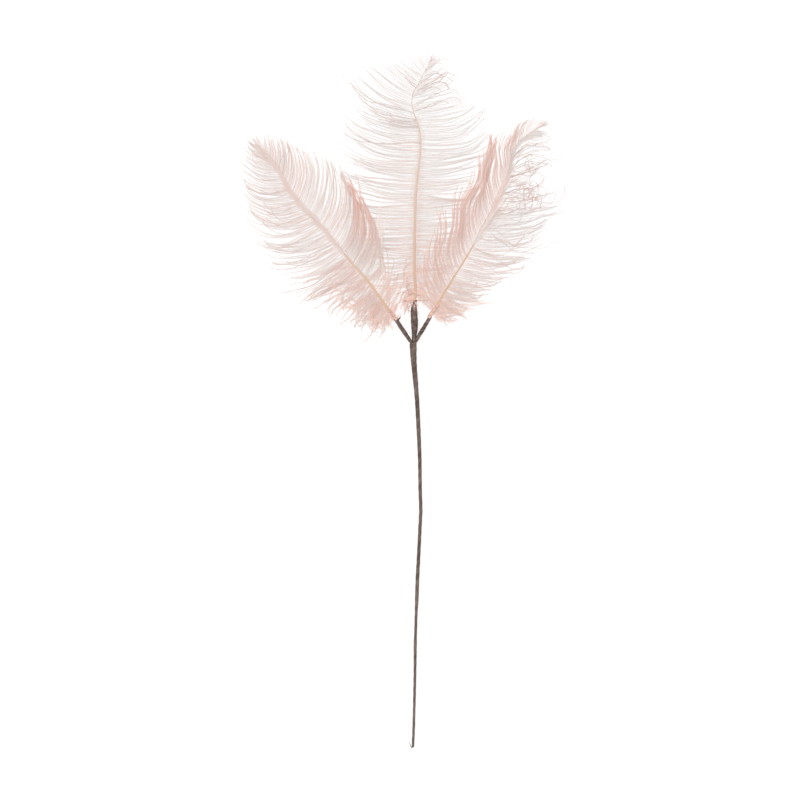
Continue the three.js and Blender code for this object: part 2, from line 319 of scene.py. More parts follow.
tape_group, tape_in, tape_out = new_group(
    "Wound tape",
    [
        ("Brown", "NodeSocketColor"),
        ("Dark patches and painted crease shading", "NodeSocketColor"),
        ("Painted lap sheen", "NodeSocketColor"),
        ("Patches", "NodeSocketFloat"),
    ],
    [("Color", "NodeSocketColor"), ("Height", "NodeSocketFloat"), ("Roughness", "NodeSocketFloat")],
)
print("tape group sockets:", [item.name for item in tape_group.interface.items_tree])

# %% Wire the tape group
# The lap edges are mixed to a lighter colour, a painted sheen, and the creases of the wrinkles to a dark
# one, painted shade. The limits below say where.
BLOTCH_LIMITS = (0.35, 0.65)
SHEEN_EDGE_LIMITS = (0.82, 1.0)
CREASE_SHADE_LIMITS = (0.5, 0.3)
ROUGH_LIMITS = (-1.6, 1.0)
WRINKLES_A_METRE = 900
WRINKLE_STRETCH = (1, 0.25, 1)
COLOR_INPUTS = (0, 6, 7)
COLOR_OUTPUT = 2


def mix_colors(nodes, links, factor, a, b):
    """A Mix node, used through its sockets for colours. factor, a and b are sockets."""
    mix = nodes.new("ShaderNodeMix")
    mix.data_type = "RGBA"
    for place, socket in zip(COLOR_INPUTS, (factor, a, b)):
        links.new(socket, mix.inputs[place])
    return mix.outputs[COLOR_OUTPUT]


def ramp(nodes, links, source, low, high):
    """Stretches a value so that low becomes 0 and high becomes 1."""
    node = nodes.new("ShaderNodeMapRange")
    node.inputs["From Min"].default_value = low
    node.inputs["From Max"].default_value = high
    links.new(source, node.inputs["Value"])
    return node.outputs["Result"]


def noise_on_object(nodes, links, scale, detail=3.0, stretch=(1, 1, 1)):
    """A noise value on Object coordinates. scale is in waves per metre, as a number or a socket."""
    coordinates = nodes.new("ShaderNodeTexCoord")
    mapping = nodes.new("ShaderNodeMapping")
    mapping.inputs["Scale"].default_value = stretch
    links.new(coordinates.outputs["Object"], mapping.inputs["Vector"])
    texture = nodes.new("ShaderNodeTexNoise")
    if isinstance(scale, bpy.types.NodeSocket):
        links.new(scale, texture.inputs["Scale"])
    else:
        texture.inputs["Scale"].default_value = scale
    texture.inputs["Detail"].default_value = detail
    links.new(mapping.outputs["Vector"], texture.inputs["Vector"])
    return texture.outputs["Fac"]


nodes, links = tape_group.nodes, tape_group.links
patchy = noise_on_object(nodes, links, tape_in.outputs["Patches"])
blotches = ramp(nodes, links, patchy, *BLOTCH_LIMITS)
wrinkles = noise_on_object(nodes, links, WRINKLES_A_METRE, detail=2, stretch=WRINKLE_STRETCH)
lap = nodes.new("ShaderNodeAttribute")
lap.attribute_name = "lap"
base = mix_colors(nodes, links, blotches, tape_in.outputs["Brown"], tape_in.outputs["Dark patches and painted crease shading"])
# The edge of every lap gets the lighter colour: a painted sheen where the wax was rubbed.
edge = ramp(nodes, links, lap.outputs["Fac"], *SHEEN_EDGE_LIMITS)
base = mix_colors(nodes, links, edge, base, tape_in.outputs["Painted lap sheen"])
# Where the wrinkles are low, the colour is mixed to the dark one: painted shade in the creases.
crease_shade = ramp(nodes, links, wrinkles, *CREASE_SHADE_LIMITS)
base = mix_colors(nodes, links, crease_shade, base, tape_in.outputs["Dark patches and painted crease shading"])
links.new(base, tape_out.inputs["Color"])
links.new(wrinkles, tape_out.inputs["Height"])
links.new(ramp(nodes, links, blotches, *ROUGH_LIMITS), tape_out.inputs["Roughness"])
print("nodes in the tape group:", len(nodes))

# %% Kinds of tape
BUMP_STRENGTH = 0.5
BUMP_HEIGHT = 0.0003
WAX_SHINE = 0.35


def group_material(name, tree, group_settings, shader_settings):
    """A material whose base colour comes from a node group, and the tools to wire it further."""
    material, nodes, links, shader = new_material(name, shader_settings)
    group = nodes.new("ShaderNodeGroup")
    group.node_tree = tree
    for label, value in group_settings.items():
        group.inputs[label].default_value = value
    links.new(group.outputs["Color"], shader.inputs["Base Color"])
    return material, nodes, links, shader, group


def tape_material(name, brown, patches_and_crease_shading, lap_sheen, patches):
    """Three colours of tape: its brown, a dark colour for its patches and its painted crease shade, and a
    lighter colour for the painted sheen of its lap edges. patches says how many dark patches there are in
    a metre.
    """
    shades = {"Brown": (*brown, 1), "Dark patches and painted crease shading": (*patches_and_crease_shading, 1), "Painted lap sheen": (*lap_sheen, 1), "Patches": patches}
    material, nodes, links, shader, group = group_material(
        name, tape_group, shades, {"Specular IOR Level": WAX_SHINE}
    )
    bump = nodes.new("ShaderNodeBump")
    bump.inputs["Strength"].default_value = BUMP_STRENGTH
    bump.inputs["Distance"].default_value = BUMP_HEIGHT
    links.new(group.outputs["Roughness"], shader.inputs["Roughness"])
    links.new(group.outputs["Height"], bump.inputs["Height"])
    links.new(bump.outputs["Normal"], shader.inputs["Normal"])
    return material


# Each tape gives its brown, a dark colour for its patches and its painted crease shade, and a lighter
# colour for the painted sheen of its lap edges.
STEM_TAPE = tape_material(
    "brown floral tape", (0.168, 0.122, 0.098), (0.09, 0.062, 0.049), (0.27, 0.205, 0.17), 90
)
DARK_TAPE = tape_material(
    "darker floral tape", (0.165, 0.118, 0.095), (0.07, 0.047, 0.037), (0.29, 0.22, 0.18), 240
)
print("tapes:", STEM_TAPE.name, "and", DARK_TAPE.name)

# %% [markdown]
# ## The taped stem
#
# The stem is a nearly straight wire under a spiral of tape. From a step away it is a slightly uneven
# brown rod, but each turn of tape leaves an edge that stands up a fifth of a millimetre. The edge
# could be bump in the material. It is made as real shape here, because a spiral step also roughens
# the outline of the rod, and the outline is what shows against a white floor.

# %% Wind tape round a rod
TAPE_STEP = 0.2
LUMP = 0.12
LUMP_SCALE = 160


def nearest_shares(route, places):
    """How far along the route, from 0 to 1, each place lies."""
    gaps = np.linalg.norm(route[None] - places[:, None], axis=2)
    return gaps.argmin(axis=1) / (len(route) - 1)


def taped_rod(name, rows, material, *nodes, pitch, sides, ring_gap, lumpy=1.0):
    """rows are x, y, z, width and height in mm. pitch is the distance between turns."""
    rows = np.asarray(rows, float)
    route = in_frame(smooth_route(rows[:, :3]))
    shares_of_rows = nearest_shares(route, in_frame(rows[:, :3]))
    length = route_length(route) / MM
    turns = length / pitch

    def lap(share, angle):
        return (share * turns + angle / (2 * math.pi)) % 1.0

    def radius_at(share, angle):
        wide = np.interp(share, shares_of_rows, rows[:, 3]) / 2
        high = np.interp(share, shares_of_rows, rows[:, 4]) / 2
        around = (math.cos(angle), math.sin(angle))
        lumps = lumpy * LUMP * noise.noise(Vector((share * length * MM * LUMP_SCALE, *around)))
        more = TAPE_STEP * (1 - lap(share, angle)) + lumps
        return ((wide + more) * MM, (high + more) * MM)

    cuts = int(length / ring_gap)
    piece = bent_rod(name, route, sides, cuts, radius_at, [("lap", lap)])
    finish_piece(piece, material, "floral_tape", *nodes)


def lying(rows):
    """Adds the height of the axis to rows of x, y, width and height of a rod that lies on the floor."""
    return [(x, y, high / 2 + TAPE_STEP, wide, high) for x, y, wide, high in rows]


print("edge of the tape, mm:", TAPE_STEP)

# %% Courses of the taped rods
# The stem's rows are x, y and width, the binding's x, y, width and height, the branches' x, y, z
# and width, all in mm
STEM = [
    (0.6, -41.0, 4.9),
    (2.1, -59.6, 4.5),
    (3.8, -92.1, 4.2),
    (5.1, -124.6, 3.8),
    (5.6, -157.2, 3.6),
    (6.2, -178.8, 3.5),
    (5.3, -200.5, 3.5),
    (3.7, -233.0, 3.6),
    (2.6, -254.7, 3.8),
    (1.9, -276.4, 3.8),
    (1.3, -290.0, 2.9),
    (0.5, -316.0, 2.8),
    (0.3, -322.0, 3.3),
    (0.0, -352.0, 2.8),
    (-0.9, -395.6, 2.6),
    (-1.9, -428.1, 2.6),
    (-2.4, -436.6, 2.2),
]
BINDING = [
    (-2.0, 1.0, 7.4, 5.6),
    (-1.9, -6.0, 7.2, 5.6),
    (-1.5, -16.0, 6.2, 5.2),
    (-0.4, -30.0, 5.4, 4.9),
    (1.0, -44.6, 5.1, 4.8),
]
CENTRE_BRANCH = [
    (-1.0, 1.3, 3.2, 4.6),
    (-0.9, 8.0, 3.9, 4.8),
    (-0.5, 16.0, 4.6, 6.4),
    (-0.6, 24.0, 5.2, 7.7),
    (-1.0, 31.0, 5.6, 7.4),
    (-1.2, 38.5, 6.0, 6.2),
    (-0.8, 45.0, 6.4, 5.6),
]
LEFT_BRANCH = [
    (-3.7, 1.2, 3.8, 3.0),
    (-6.6, 5.8, 5.2, 3.8),
    (-11.0, 12.2, 8.2, 4.5),
    (-15.4, 18.6, 11.6, 4.4),
    (-19.4, 25.0, 14.6, 4.3),
    (-22.6, 30.0, 16.6, 3.3),
]
RIGHT_BRANCH = [
    (0.6, 2.4, 4.2, 2.4),
    (4.0, 9.0, 6.2, 4.2),
    (8.0, 15.4, 9.4, 4.3),
    (11.6, 21.4, 12.8, 4.2),
    (15.2, 27.6, 15.6, 4.0),
    (16.8, 30.6, 16.8, 3.6),
]
print(f"the stem below the binding is {STEM[0][1] - STEM[-1][1]:.0f} mm long")

# %% Stem, binding and branches
stem_rows = lying([(x, y, width, width) for x, y, width in STEM])
taped_rod("wound_stem", stem_rows, STEM_TAPE, "stem", pitch=11, sides=16, ring_gap=1.0)
taped_rod(
    "wound_binding", lying(BINDING), STEM_TAPE, "fork_binding", pitch=9, sides=20, ring_gap=0.8
)
for name, rows in (
    ("centre_branch", CENTRE_BRANCH),
    ("left_branch", LEFT_BRANCH),
    ("right_branch", RIGHT_BRANCH),
):
    rod = [(x, y, z, width, width) for x, y, z, width in rows]
    taped_rod("wound_" + name, rod, DARK_TAPE, name, pitch=6, sides=16, ring_gap=0.6, lumpy=2)

# %% [markdown]
# ## Wraps and torn ends
#
# At the ends of the branches the tape is torn, and its ragged end has picked up pink down. A torn
# strip could be cut out of a sheet, but it is only two millimetres wide in the picture. So each of
# these ends is one more short taped rod. The torn top and the two wraps have larger lumps and a
# paler, more patchy tape. The spur and the knob are of the dark tape of the branches.

# %% Wraps and torn ends at the fork
PINK_WRAP = tape_material(
    "pink wrapping", (0.76, 0.51, 0.43), (0.5, 0.31, 0.25), (0.85, 0.7, 0.64), 380
)
WRAP_RIGHT = [
    (14.8, 28.6, 16.6, 3.8, 4.2),
    (17.2, 32.6, 17.6, 4.4, 4.5),
    (21.2, 37.6, 19.2, 4.4, 4.3),
    (26.4, 43.8, 21.0, 2.2, 2.2),
]
ROOT_LEFT = [
    (-20.2, 26.6, 15.6, 4.4, 4.2),
    (-23.0, 30.2, 16.8, 4.8, 4.4),
    (-26.0, 33.8, 18.0, 4.0, 3.8),
    (-28.2, 36.8, 19.2, 3.2, 3.0),
]
SPUR_LEFT = [
    (-18.6, 26.0, 15.8, 1.6, 1.2),
    (-17.2, 27.6, 16.4, 1.4, 0.9),
    (-15.6, 29.4, 16.8, 0.6, 0.4),
]
KNOB_RIGHT = [
    (2.2, 5.2, 4.2, 2.2, 2.4),
    (3.4, 6.6, 4.8, 3.2, 3.2),
    (4.4, 8.4, 5.6, 2.0, 2.2),
]
TORN_TAPE = tape_material(
    "torn tape", (0.45, 0.31, 0.26), (0.12, 0.082, 0.067), (0.6, 0.44, 0.38), 700
)
TORN_TOP = [
    (-1.6, 36.6, 6.8, 4.4, 4.8),
    (-1.1, 41.0, 6.6, 5.8, 5.8),
    (-0.6, 45.4, 6.6, 5.4, 5.2),
    (0.4, 47.4, 6.9, 3.8, 3.6),
    (1.3, 48.8, 7.2, 1.6, 1.6),
]
taped_rod(
    "centre_torn_top", TORN_TOP, TORN_TAPE, "centre_branch", pitch=2.2, sides=14, ring_gap=0.4, lumpy=7
)
taped_rod(
    "right_quill_wrap", WRAP_RIGHT, PINK_WRAP, "right_branch", pitch=3, sides=14, ring_gap=0.5, lumpy=4
)
taped_rod(
    "left_quill_root", ROOT_LEFT, PINK_WRAP, "left_branch", pitch=3, sides=14, ring_gap=0.5, lumpy=6
)
taped_rod("left_tape_spur", SPUR_LEFT, DARK_TAPE, "left_branch", pitch=3, sides=8, ring_gap=0.5)
taped_rod("right_tape_knob", KNOB_RIGHT, DARK_TAPE, "right_branch", pitch=3, sides=10, ring_gap=0.5)

# %% Loose tape end
TAIL = [(-3.4, -437.6, 0.9), (-4.9, -434.6, 1.3), (-6.4, -430.9, 2.2)]
TAIL_POINTS = 40
TAIL_WIDTH = 0.9
TAIL_THICKNESS = 0.5
TAIL_TAPER = 0.6


def tail_radii(share, angle):
    return (TAIL_WIDTH / 2 * MM * (1 - TAIL_TAPER * share), TAIL_THICKNESS / 2 * MM)


tail_route = in_frame(smooth_route(TAIL, TAIL_POINTS))
tail = bent_rod("loose_tape_end", tail_route, sides=8, cuts=12, radius_at=tail_radii)
finish_piece(tail, STEM_TAPE, "floral_tape", "tape_tail")

# %% [markdown]
# ## The fields of barbs
#
# Each vane is described by a few stations along the shaft. A station says how long the barbs are
# there, which way they leave, turn and end, how high their tips lie, and how they arch. They began
# as the stations of the solid locks and were then set against the photograph, so the fine
# barbs end within a few millimetres of the ends of the locks. Two more columns are for the eye only:
# how pink the barbs are, and how full their down is.
#
# Between stations the values are read off by interpolation. That gives a smooth field, and chance
# is then added barb by barb.

# %% Stations of the three feathers
# AT is a share of the shaft, LENGTH, HEIGHT and ARCH are in mm, the three bearings in degrees
AT, LENGTH, ROOT, MIDDLE, TIP, HEIGHT, ARCH, PINK, DOWN = range(9)
LEFT = {
    "node": "left_feather",
    "quill": 3.2,
    "shaft": [
        (-22.8, 30.3, 16.8),
        (-26.6, 34.6, 18.6),
        (-38.3, 50.9, 24.0),
        (-50.1, 67.2, 28.0),
        (-68.3, 87.8, 32.0),
        (-82.4, 104.6, 34.0),
        (-103.0, 128.3, 35.5),
        (-116.6, 143.1, 35.5),
        (-136.0, 166.9, 33.0),
        (-150.7, 191.8, 29.0),
        (-160.4, 203.8, 26.5),
        (-171.2, 213.9, 24.0),
    ],
    "outer": [
        (0.02, 25, 246, 242, 238, 3.0, 0, 0.75, 1.5),
        (0.1, 40, 236, 229, 222, 1.6, 1, 0.7, 1.5),
        (0.19, 54, 226, 219, 211, 1.2, 3, 0.7, 1.4),
        (0.3, 70, 219, 212, 198, 1.0, 4, 0.5, 1.1),
        (0.39, 76, 215, 201, 166, 1.0, 5, 0.35, 0.9),
        (0.51, 82, 212, 185, 132, 1.0, 6, 0.35, 0.85),
        (0.6, 81, 208, 174, 114, 1.2, 6, 0.35, 0.8),
        (0.72, 66, 196, 165, 112, 2.0, 6, 0.3, 0.8),
        (0.84, 45, 181, 157, 116, 6.0, 4, 0.3, 0.8),
        (0.93, 24, 165, 150, 134, 14.0, 2, 0.3, 0.8),
        (1.0, 12, 146, 142, 138, 21.0, 0, 0.3, 0.7),
    ],
    "inner": [
        (0.02, 24, 46, 55, 66, 21.0, 2, 0.7, 1.2),
        (0.1, 42, 52, 78, 112, 23.0, 4, 0.5, 1.1),
        (0.19, 66, 48, 82, 122, 26.0, 7, 0.25, 1.1),
        (0.27, 80, 52, 88, 124, 29.0, 9, 0.2, 1.0),
        (0.36, 84, 49, 90, 122, 32.0, 10, 0.2, 1.0),
        (0.45, 79, 50, 82, 120, 32.0, 9, 0.25, 1.0),
        (0.51, 78, 56, 80, 118, 30.0, 8, 0.35, 0.9),
        (0.6, 70, 58, 82, 116, 26.0, 7, 0.35, 0.9),
        (0.72, 57, 60, 93, 128, 20.0, 6, 0.35, 0.8),
        (0.84, 38, 74, 90, 98, 18.0, 4, 0.35, 0.8),
        (0.93, 22, 92, 98, 100, 20.0, 2, 0.35, 0.8),
        (1.0, 12, 122, 124, 126, 23.0, 0, 0.4, 0.7),
    ],
}
CENTRE = {
    "node": "centre_feather",
    "quill": 3.3,
    "shaft": [
        (-0.6, 46.0, 6.6),
        (0.5, 55.3, 8.0),
        (-0.5, 75.0, 10.0),
        (-0.7, 95.4, 11.6),
        (-0.2, 130.7, 13.0),
        (1.2, 166.0, 14.0),
        (3.6, 189.4, 14.6),
        (6.0, 213.0, 15.4),
        (4.6, 231.9, 17.0),
        (-0.7, 248.2, 19.0),
        (-3.5, 260.1, 20.5),
        (-1.8, 271.8, 22.0),
        (4.0, 281.5, 23.0),
        (11.1, 295.3, 24.0),
        (18.0, 306.6, 24.5),
    ],
    "outer": [
        (0.03, 20, 200, 205, 215, 3.0, 0, 0.7, 1.1),
        (0.1, 34, 190, 182, 170, 2.4, 0, 0.5, 1.0),
        (0.2, 52, 186, 183, 178, 2.0, 0, 0.35, 1.0),
        (0.31, 72, 184, 179, 170, 1.8, 0, 0.3, 0.9),
        (0.43, 82, 182, 171, 152, 1.6, 1, 0.25, 0.9),
        (0.52, 89, 178, 164, 140, 1.6, 2, 0.2, 0.9),
        (0.6, 95, 184, 164, 132, 1.6, 3, 0.2, 0.9),
        (0.67, 94, 178, 161, 134, 2.0, 4, 0.2, 0.8),
        (0.73, 90, 173, 160, 136, 3.0, 4, 0.15, 0.8),
        (0.78, 82, 168, 154, 134, 5.0, 4, 0.05, 0.75),
        (0.82, 70, 160, 146, 128, 8.0, 3, 0.05, 0.7),
        (0.86, 52, 152, 138, 120, 11.0, 3, 0.05, 0.6),
        (0.92, 36, 142, 128, 114, 16.0, 2, 0.05, 0.55),
        (0.965, 20, 124, 116, 108, 20.0, 0, 0.1, 0.5),
        (1.0, 8, 75, 75, 75, 23.0, 0, 0.3, 0.5),
    ],
    "inner": [
        (0.03, 20, -25, -32, -40, 3.0, 0, 0.7, 1.1),
        (0.1, 34, -6, 0, 5, 2.4, 0, 0.5, 1.0),
        (0.2, 50, -2, 0, 4, 2.0, 0, 0.35, 1.0),
        (0.31, 62, -2, 2, 8, 1.8, 0, 0.3, 0.9),
        (0.43, 70, -3, 4, 15, 1.6, 1, 0.2, 0.9),
        (0.52, 78, -3, 8, 28, 1.6, 2, 0.15, 0.85),
        (0.6, 84, -8, 12, 52, 1.6, 3, 0.1, 0.8),
        (0.67, 80, -5, 15, 58, 2.0, 4, 0.05, 0.75),
        (0.73, 78, 0, 16, 55, 3.0, 4, 0.05, 0.7),
        (0.78, 72, 4, 18, 50, 5.0, 4, 0.05, 0.65),
        (0.82, 62, 10, 22, 46, 8.0, 3, 0.05, 0.6),
        (0.86, 50, 16, 26, 42, 11.0, 3, 0.05, 0.55),
        (0.92, 32, 24, 30, 38, 16.0, 2, 0.05, 0.5),
        (0.965, 18, 35, 37, 40, 20.0, 0, 0.1, 0.5),
        (1.0, 7, 45, 45, 45, 23.0, 0, 0.3, 0.5),
    ],
}
RIGHT = {
    "node": "right_feather",
    "quill": 2.6,
    "shaft": [
        (17.2, 31.2, 17.0),
        (21.4, 37.4, 19.0),
        (28.2, 49.9, 22.5),
        (40.1, 69.4, 27.0),
        (55.7, 94.3, 32.0),
        (72.6, 123.6, 36.0),
        (82.4, 138.7, 38.0),
        (94.3, 162.6, 40.5),
        (100.8, 181.0, 42.0),
        (108.4, 211.3, 43.0),
        (121.4, 225.4, 42.0),
        (136.6, 235.2, 39.0),
    ],
    "outer": [
        (0.02, 24, -46, -38, -30, 3.0, 0, 0.7, 1.2),
        (0.07, 33, -36, -26, -16, 1.8, 1, 0.6, 1.1),
        (0.17, 53, -26, -8, 8, 1.2, 3, 0.4, 1.0),
        (0.3, 73, -12, 0, 25, 1.0, 4, 0.25, 0.75),
        (0.44, 82, -10, 12, 30, 1.0, 6, 0.2, 0.65),
        (0.52, 81, -4, 14, 30, 1.2, 6, 0.2, 0.65),
        (0.63, 66, 6, 22, 34, 6.0, 6, 0.15, 0.7),
        (0.71, 56, 26, 30, 6, 14.0, 6, 0.1, 0.6),
        (0.84, 43, 44, 6, -30, 24.0, 5, 0.15, 0.6),
        (0.92, 26, 26, 4, -20, 30.0, 2, 0.2, 0.6),
        (1.0, 11, 24, 16, 6, 36.0, 0, 0.4, 0.7),
    ],
    "inner": [
        (0.02, 24, 150, 140, 125, 21.0, 2, 0.7, 1.2),
        (0.1, 64, 128, 96, 84, 30.0, 6, 0.5, 1.1),
        (0.185, 80, 122, 86, 84, 40.0, 9, 0.5, 1.1),
        (0.307, 98, 121, 72, 80, 50.0, 13, 0.5, 1.1),
        (0.448, 104, 120, 72, 90, 58.0, 15, 0.5, 1.1),
        (0.523, 88, 122, 84, 92, 60.0, 15, 0.5, 1.1),
        (0.634, 64, 120, 90, 82, 60.0, 13, 0.45, 1.1),
        (0.715, 48, 110, 88, 72, 57.0, 9, 0.45, 1.0),
        (0.845, 31, 98, 72, 60, 50.0, 5, 0.45, 0.8),
        (0.925, 19, 82, 66, 54, 45.0, 2, 0.4, 0.6),
        (1.0, 10, 48, 42, 38, 39.0, 0, 0.4, 0.7),
    ],
}
for name, plume in (("left", LEFT), ("centre", CENTRE), ("right", RIGHT)):
    length = route_length(smooth_route(plume["shaft"]))
    print(f"{name} feather: shaft {length:.0f} mm, {len(plume['outer'])} stations on the outer side")

# %% [markdown]
# ## From stations to barbs
#
# One barb is a polyline. It starts on the shaft and takes short steps, and its bearing turns on the
# way from the root's to the tip's. All barbs of a vane are worked out together as one array, which
# takes a moment where a loop over objects would take minutes.
#
# Chance makes it a feather and not a comb, and it comes in several kinds:
# - every barb differs a little in length and direction, and more so in the down at the base,
# - the vane splits at a few partings, where the barbs on both sides lean away,
# - whole bundles ripple together, because they were curled together,
# - neighbours cling into strands of a few barbs, whose tips stray apart again.

# %% Chance that changes smoothly
# The barb's own part, the part shared with neighbours, and how many neighbours share it
LENGTH_CHANCE = (0.03, 0.05, 5)
TURN_CHANCE = (2.2, 3.5, 7)
HOOK_CHANCE = (0.6, 1.0, 5)
PINK_CHANCE = (0.08, 0.1, 4)


def smooth_step(x, low, high):
    s = np.clip((x - low) / (high - low), 0, 1)
    return s * s * (3 - 2 * s)


def wander(rng, count, wave):
    """Smooth chance from -1 to 1 that changes over about wave neighbours."""
    knots = max(4, int(count / wave) + 2)
    return np.interp(np.linspace(0, knots - 1, count), np.arange(knots), rng.uniform(-1, 1, knots))


def chance(rng, count, kind, loose=1.0, sway=1.0):
    """Chance of one kind for count barbs. loose scales their own part and sway the shared one."""
    own, shared, neighbours = kind
    return own * loose * rng.normal(0, 1, count) + shared * sway * wander(rng, count, neighbours)


lengths = 100 * (1 + chance(np.random.default_rng(1), 8, LENGTH_CHANCE))
print("eight neighbours that should be 100 mm long:", np.round(lengths).astype(int))

# %% Where barbs stand on the shaft
LAST_BARB = 0.995
PLACE_CHANCE = 0.0012
CROWD_POINTS = 400
PARTING_WIDTH = 0.03


def crowded(even, crowd):
    """Moves evenly spaced places so that they stand closer where crowd is higher."""
    grid = np.linspace(0, 1, CROWD_POINTS)
    filled = np.cumsum(np.interp(grid, *np.transpose(crowd)))
    return np.interp(even, (filled - filled[0]) / (filled[-1] - filled[0]), grid)


def parted(at, partings):
    """How far the barbs lean away from each parting, in degrees towards the tip of the shaft."""
    lean = np.zeros(len(at))
    for place, degrees in partings:
        off = (at - place) / PARTING_WIDTH
        lean += degrees * off * np.exp(0.5 - 0.5 * off * off)
    return lean


print("crowded places:", np.round(crowded(np.linspace(0, 1, 5), ((0, 1), (1, 3))), 2))

# %% Strands and tips
DOWN_ZONE = (0.12, 0.34)
HOLD = (0.4, 1.0)
MEET_FROM = (0.0, 0.3)
MEET_BY = (0.55, 0.95)


def cling(paths, at, habit, rng):
    """Draws neighbouring barbs together towards their tips, in strands of a few barbs each."""
    grip = habit["cling"] * np.interp(at, DOWN_ZONE, (habit["base_cling"], 1.0))
    v = np.linspace(0, 1, paths.shape[1])
    first = 0
    while first < len(paths):
        size = int(rng.integers(1, habit["strand"] + 1))
        strand = slice(first, min(first + size, len(paths)))
        leader = paths[min(first + size // 2, len(paths) - 1)].copy()
        hold = grip[first] * rng.uniform(*HOLD)
        weight = hold * smooth_step(v, rng.uniform(*MEET_FROM), rng.uniform(*MEET_BY))
        paths[strand] += (leader - paths[strand]) * weight[None, :, None]
        first += size


def cut_short(paths, shares):
    """Ends every path at its own share of its length, so that tips don't line up."""
    place = np.linspace(0, 1, paths.shape[1])[None] * shares[:, None] * (paths.shape[1] - 1)
    low = np.minimum(place.astype(int), paths.shape[1] - 2)
    rest = (place - low)[..., None]
    row = np.arange(len(paths))[:, None]
    return paths[row, low] * (1 - rest) + paths[row, low + 1] * rest


halved = cut_short(np.linspace(0, 10, 6)[None, :, None], np.array([0.5]))
print("a path of 10 mm cut to half ends at", halved[0, -1, 0], "mm")

# %% Steps of a barb
STEPS = 18
MIDDLES = (np.arange(STEPS) + 0.5) / STEPS
ENDS = np.arange(1, STEPS + 1) / STEPS
FALL_POWER = 1.35
ARCH_CHANCE = 0.15
LIFT_NEIGHBOURS = 3
PHASE_CHANCE = 0.25
CRIMP_WAVES = (2.5, 5.5)
TURN_ZONE = (0, 0.4)
RIPPLE_ZONE = (0.1, 0.4)
OUTER_HALF = (0.5, 1)


def walk(root, bearing, length, height):
    """Paths that start at the roots and take even steps in mm along their bearings in degrees."""
    angle = np.radians(bearing)
    step = (length / STEPS)[:, None]
    paths = np.empty((len(root), STEPS + 1, 3))
    paths[:, 0] = root
    paths[:, 1:, 0] = root[:, :1] + np.cumsum(np.cos(angle) * step, axis=1)
    paths[:, 1:, 1] = root[:, 1:2] + np.cumsum(np.sin(angle) * step, axis=1)
    paths[:, 1:, 2] = height
    return paths


def bend(column):
    """Bearings along every barb: a parabola through those of its root, its middle and its tip."""
    root, middle, tip = (column[c][:, None] for c in (ROOT, MIDDLE, TIP))
    u = MIDDLES
    return root * (1 - u) * (1 - 2 * u) + middle * 4 * u * (1 - u) + tip * u * (2 * u - 1)


def ripples(at, loose, habit, rng):
    """Waves in the bearings: a ripple shared by neighbours, and a finer crimp of each barb's own."""
    own = (len(at), 1)
    phase = 2 * math.pi * (at * habit["ripple_drift"])[:, None] + PHASE_CHANCE * rng.normal(0, 1, own)
    ripple = np.sin(2 * math.pi * habit["waves"] * MIDDLES + phase)
    ripple *= smooth_step(MIDDLES, *RIPPLE_ZONE)
    crimp_phase = rng.uniform(0, 2 * math.pi, own)
    crimp = np.sin(2 * math.pi * MIDDLES * rng.uniform(*CRIMP_WAVES, own) + crimp_phase)
    return habit["ripple"] * ripple + habit["crimp"] * crimp * loose[:, None]


def barb_paths(plume, side, habit, rng):
    """An array of barbs by points by x, y, z in mm, and the stations' columns for each barb."""
    table = np.array(plume[side], float)
    shaft = smooth_route(plume["shaft"])
    count = habit["barbs"]
    first = table[0, AT]
    at = first + (LAST_BARB - first) * crowded(np.linspace(0, 1, count), habit["crowd"])
    at = np.clip(at + rng.normal(0, PLACE_CHANCE, count), 0, 1)
    column = {c: np.interp(at, table[:, AT], table[:, c]) for c in range(1, table.shape[1])}
    column[AT] = at
    root = on_route(shaft, at)
    course = np.gradient(shaft, axis=0)
    heading = np.degrees(np.arctan2(course[:, 1], course[:, 0]))
    heading = np.interp(at, np.linspace(0, 1, len(shaft)), heading)

    loose = np.interp(at, *np.transpose(habit["wild"]))
    length = column[LENGTH] * (1 + chance(rng, count, LENGTH_CHANCE, loose, habit["sway"]))
    turn = chance(rng, count, TURN_CHANCE, loose, habit["sway"])
    forward = np.sign(np.sin(np.radians(heading - column[MIDDLE])))
    turn += forward * parted(at, habit["partings"])
    hook = habit["hook"] * loose * chance(rng, count, HOOK_CHANCE)
    turned = turn[:, None] * smooth_step(MIDDLES, *TURN_ZONE)
    hooked = hook[:, None] * smooth_step(MIDDLES, *OUTER_HALF)
    bearing = bend(column) + (turned + hooked) + ripples(at, loose, habit, rng)

    fall = (column[HEIGHT] - root[:, 2])[:, None] * ENDS**FALL_POWER
    arch = (column[ARCH] * (1 + ARCH_CHANCE * rng.normal(0, 1, count)))[:, None]
    arch = arch * 4 * ENDS * (1 - ENDS)
    lift = habit["lift"] * wander(rng, count, LIFT_NEIGHBOURS)[:, None] * ENDS
    paths = walk(root, bearing, length, root[:, 2:] + fall + arch + lift)

    cling(paths, at, habit, rng)
    paths = cut_short(paths, 1 - habit["ragged"] * rng.uniform(0, 1, count) ** 2)
    drift = habit["fray"] * rng.normal(0, 1, (count, 1, 3)) * loose[:, None, None]
    paths[:, 1:] += drift * smooth_step(ENDS, *OUTER_HALF)[None, :, None]
    return paths, column


print("each barb has", STEPS, "steps")

# %% [markdown]
# ## Barbs and barbules as meshes
#
# A barb is a thread less than half a millimetre thick, and its barbules are thinner than a hair.
# Particle hair would draw them fast, but it is no mesh, and other programs lose it. So the threads
# become tubes with three sides, and each barbule becomes the smallest closed shape there is: a
# stretched pyramid with four faces. A vane holds tens of thousands of them in one joined mesh.

# %% Threads
THREAD_SIDES = 3
TINY = 1e-9


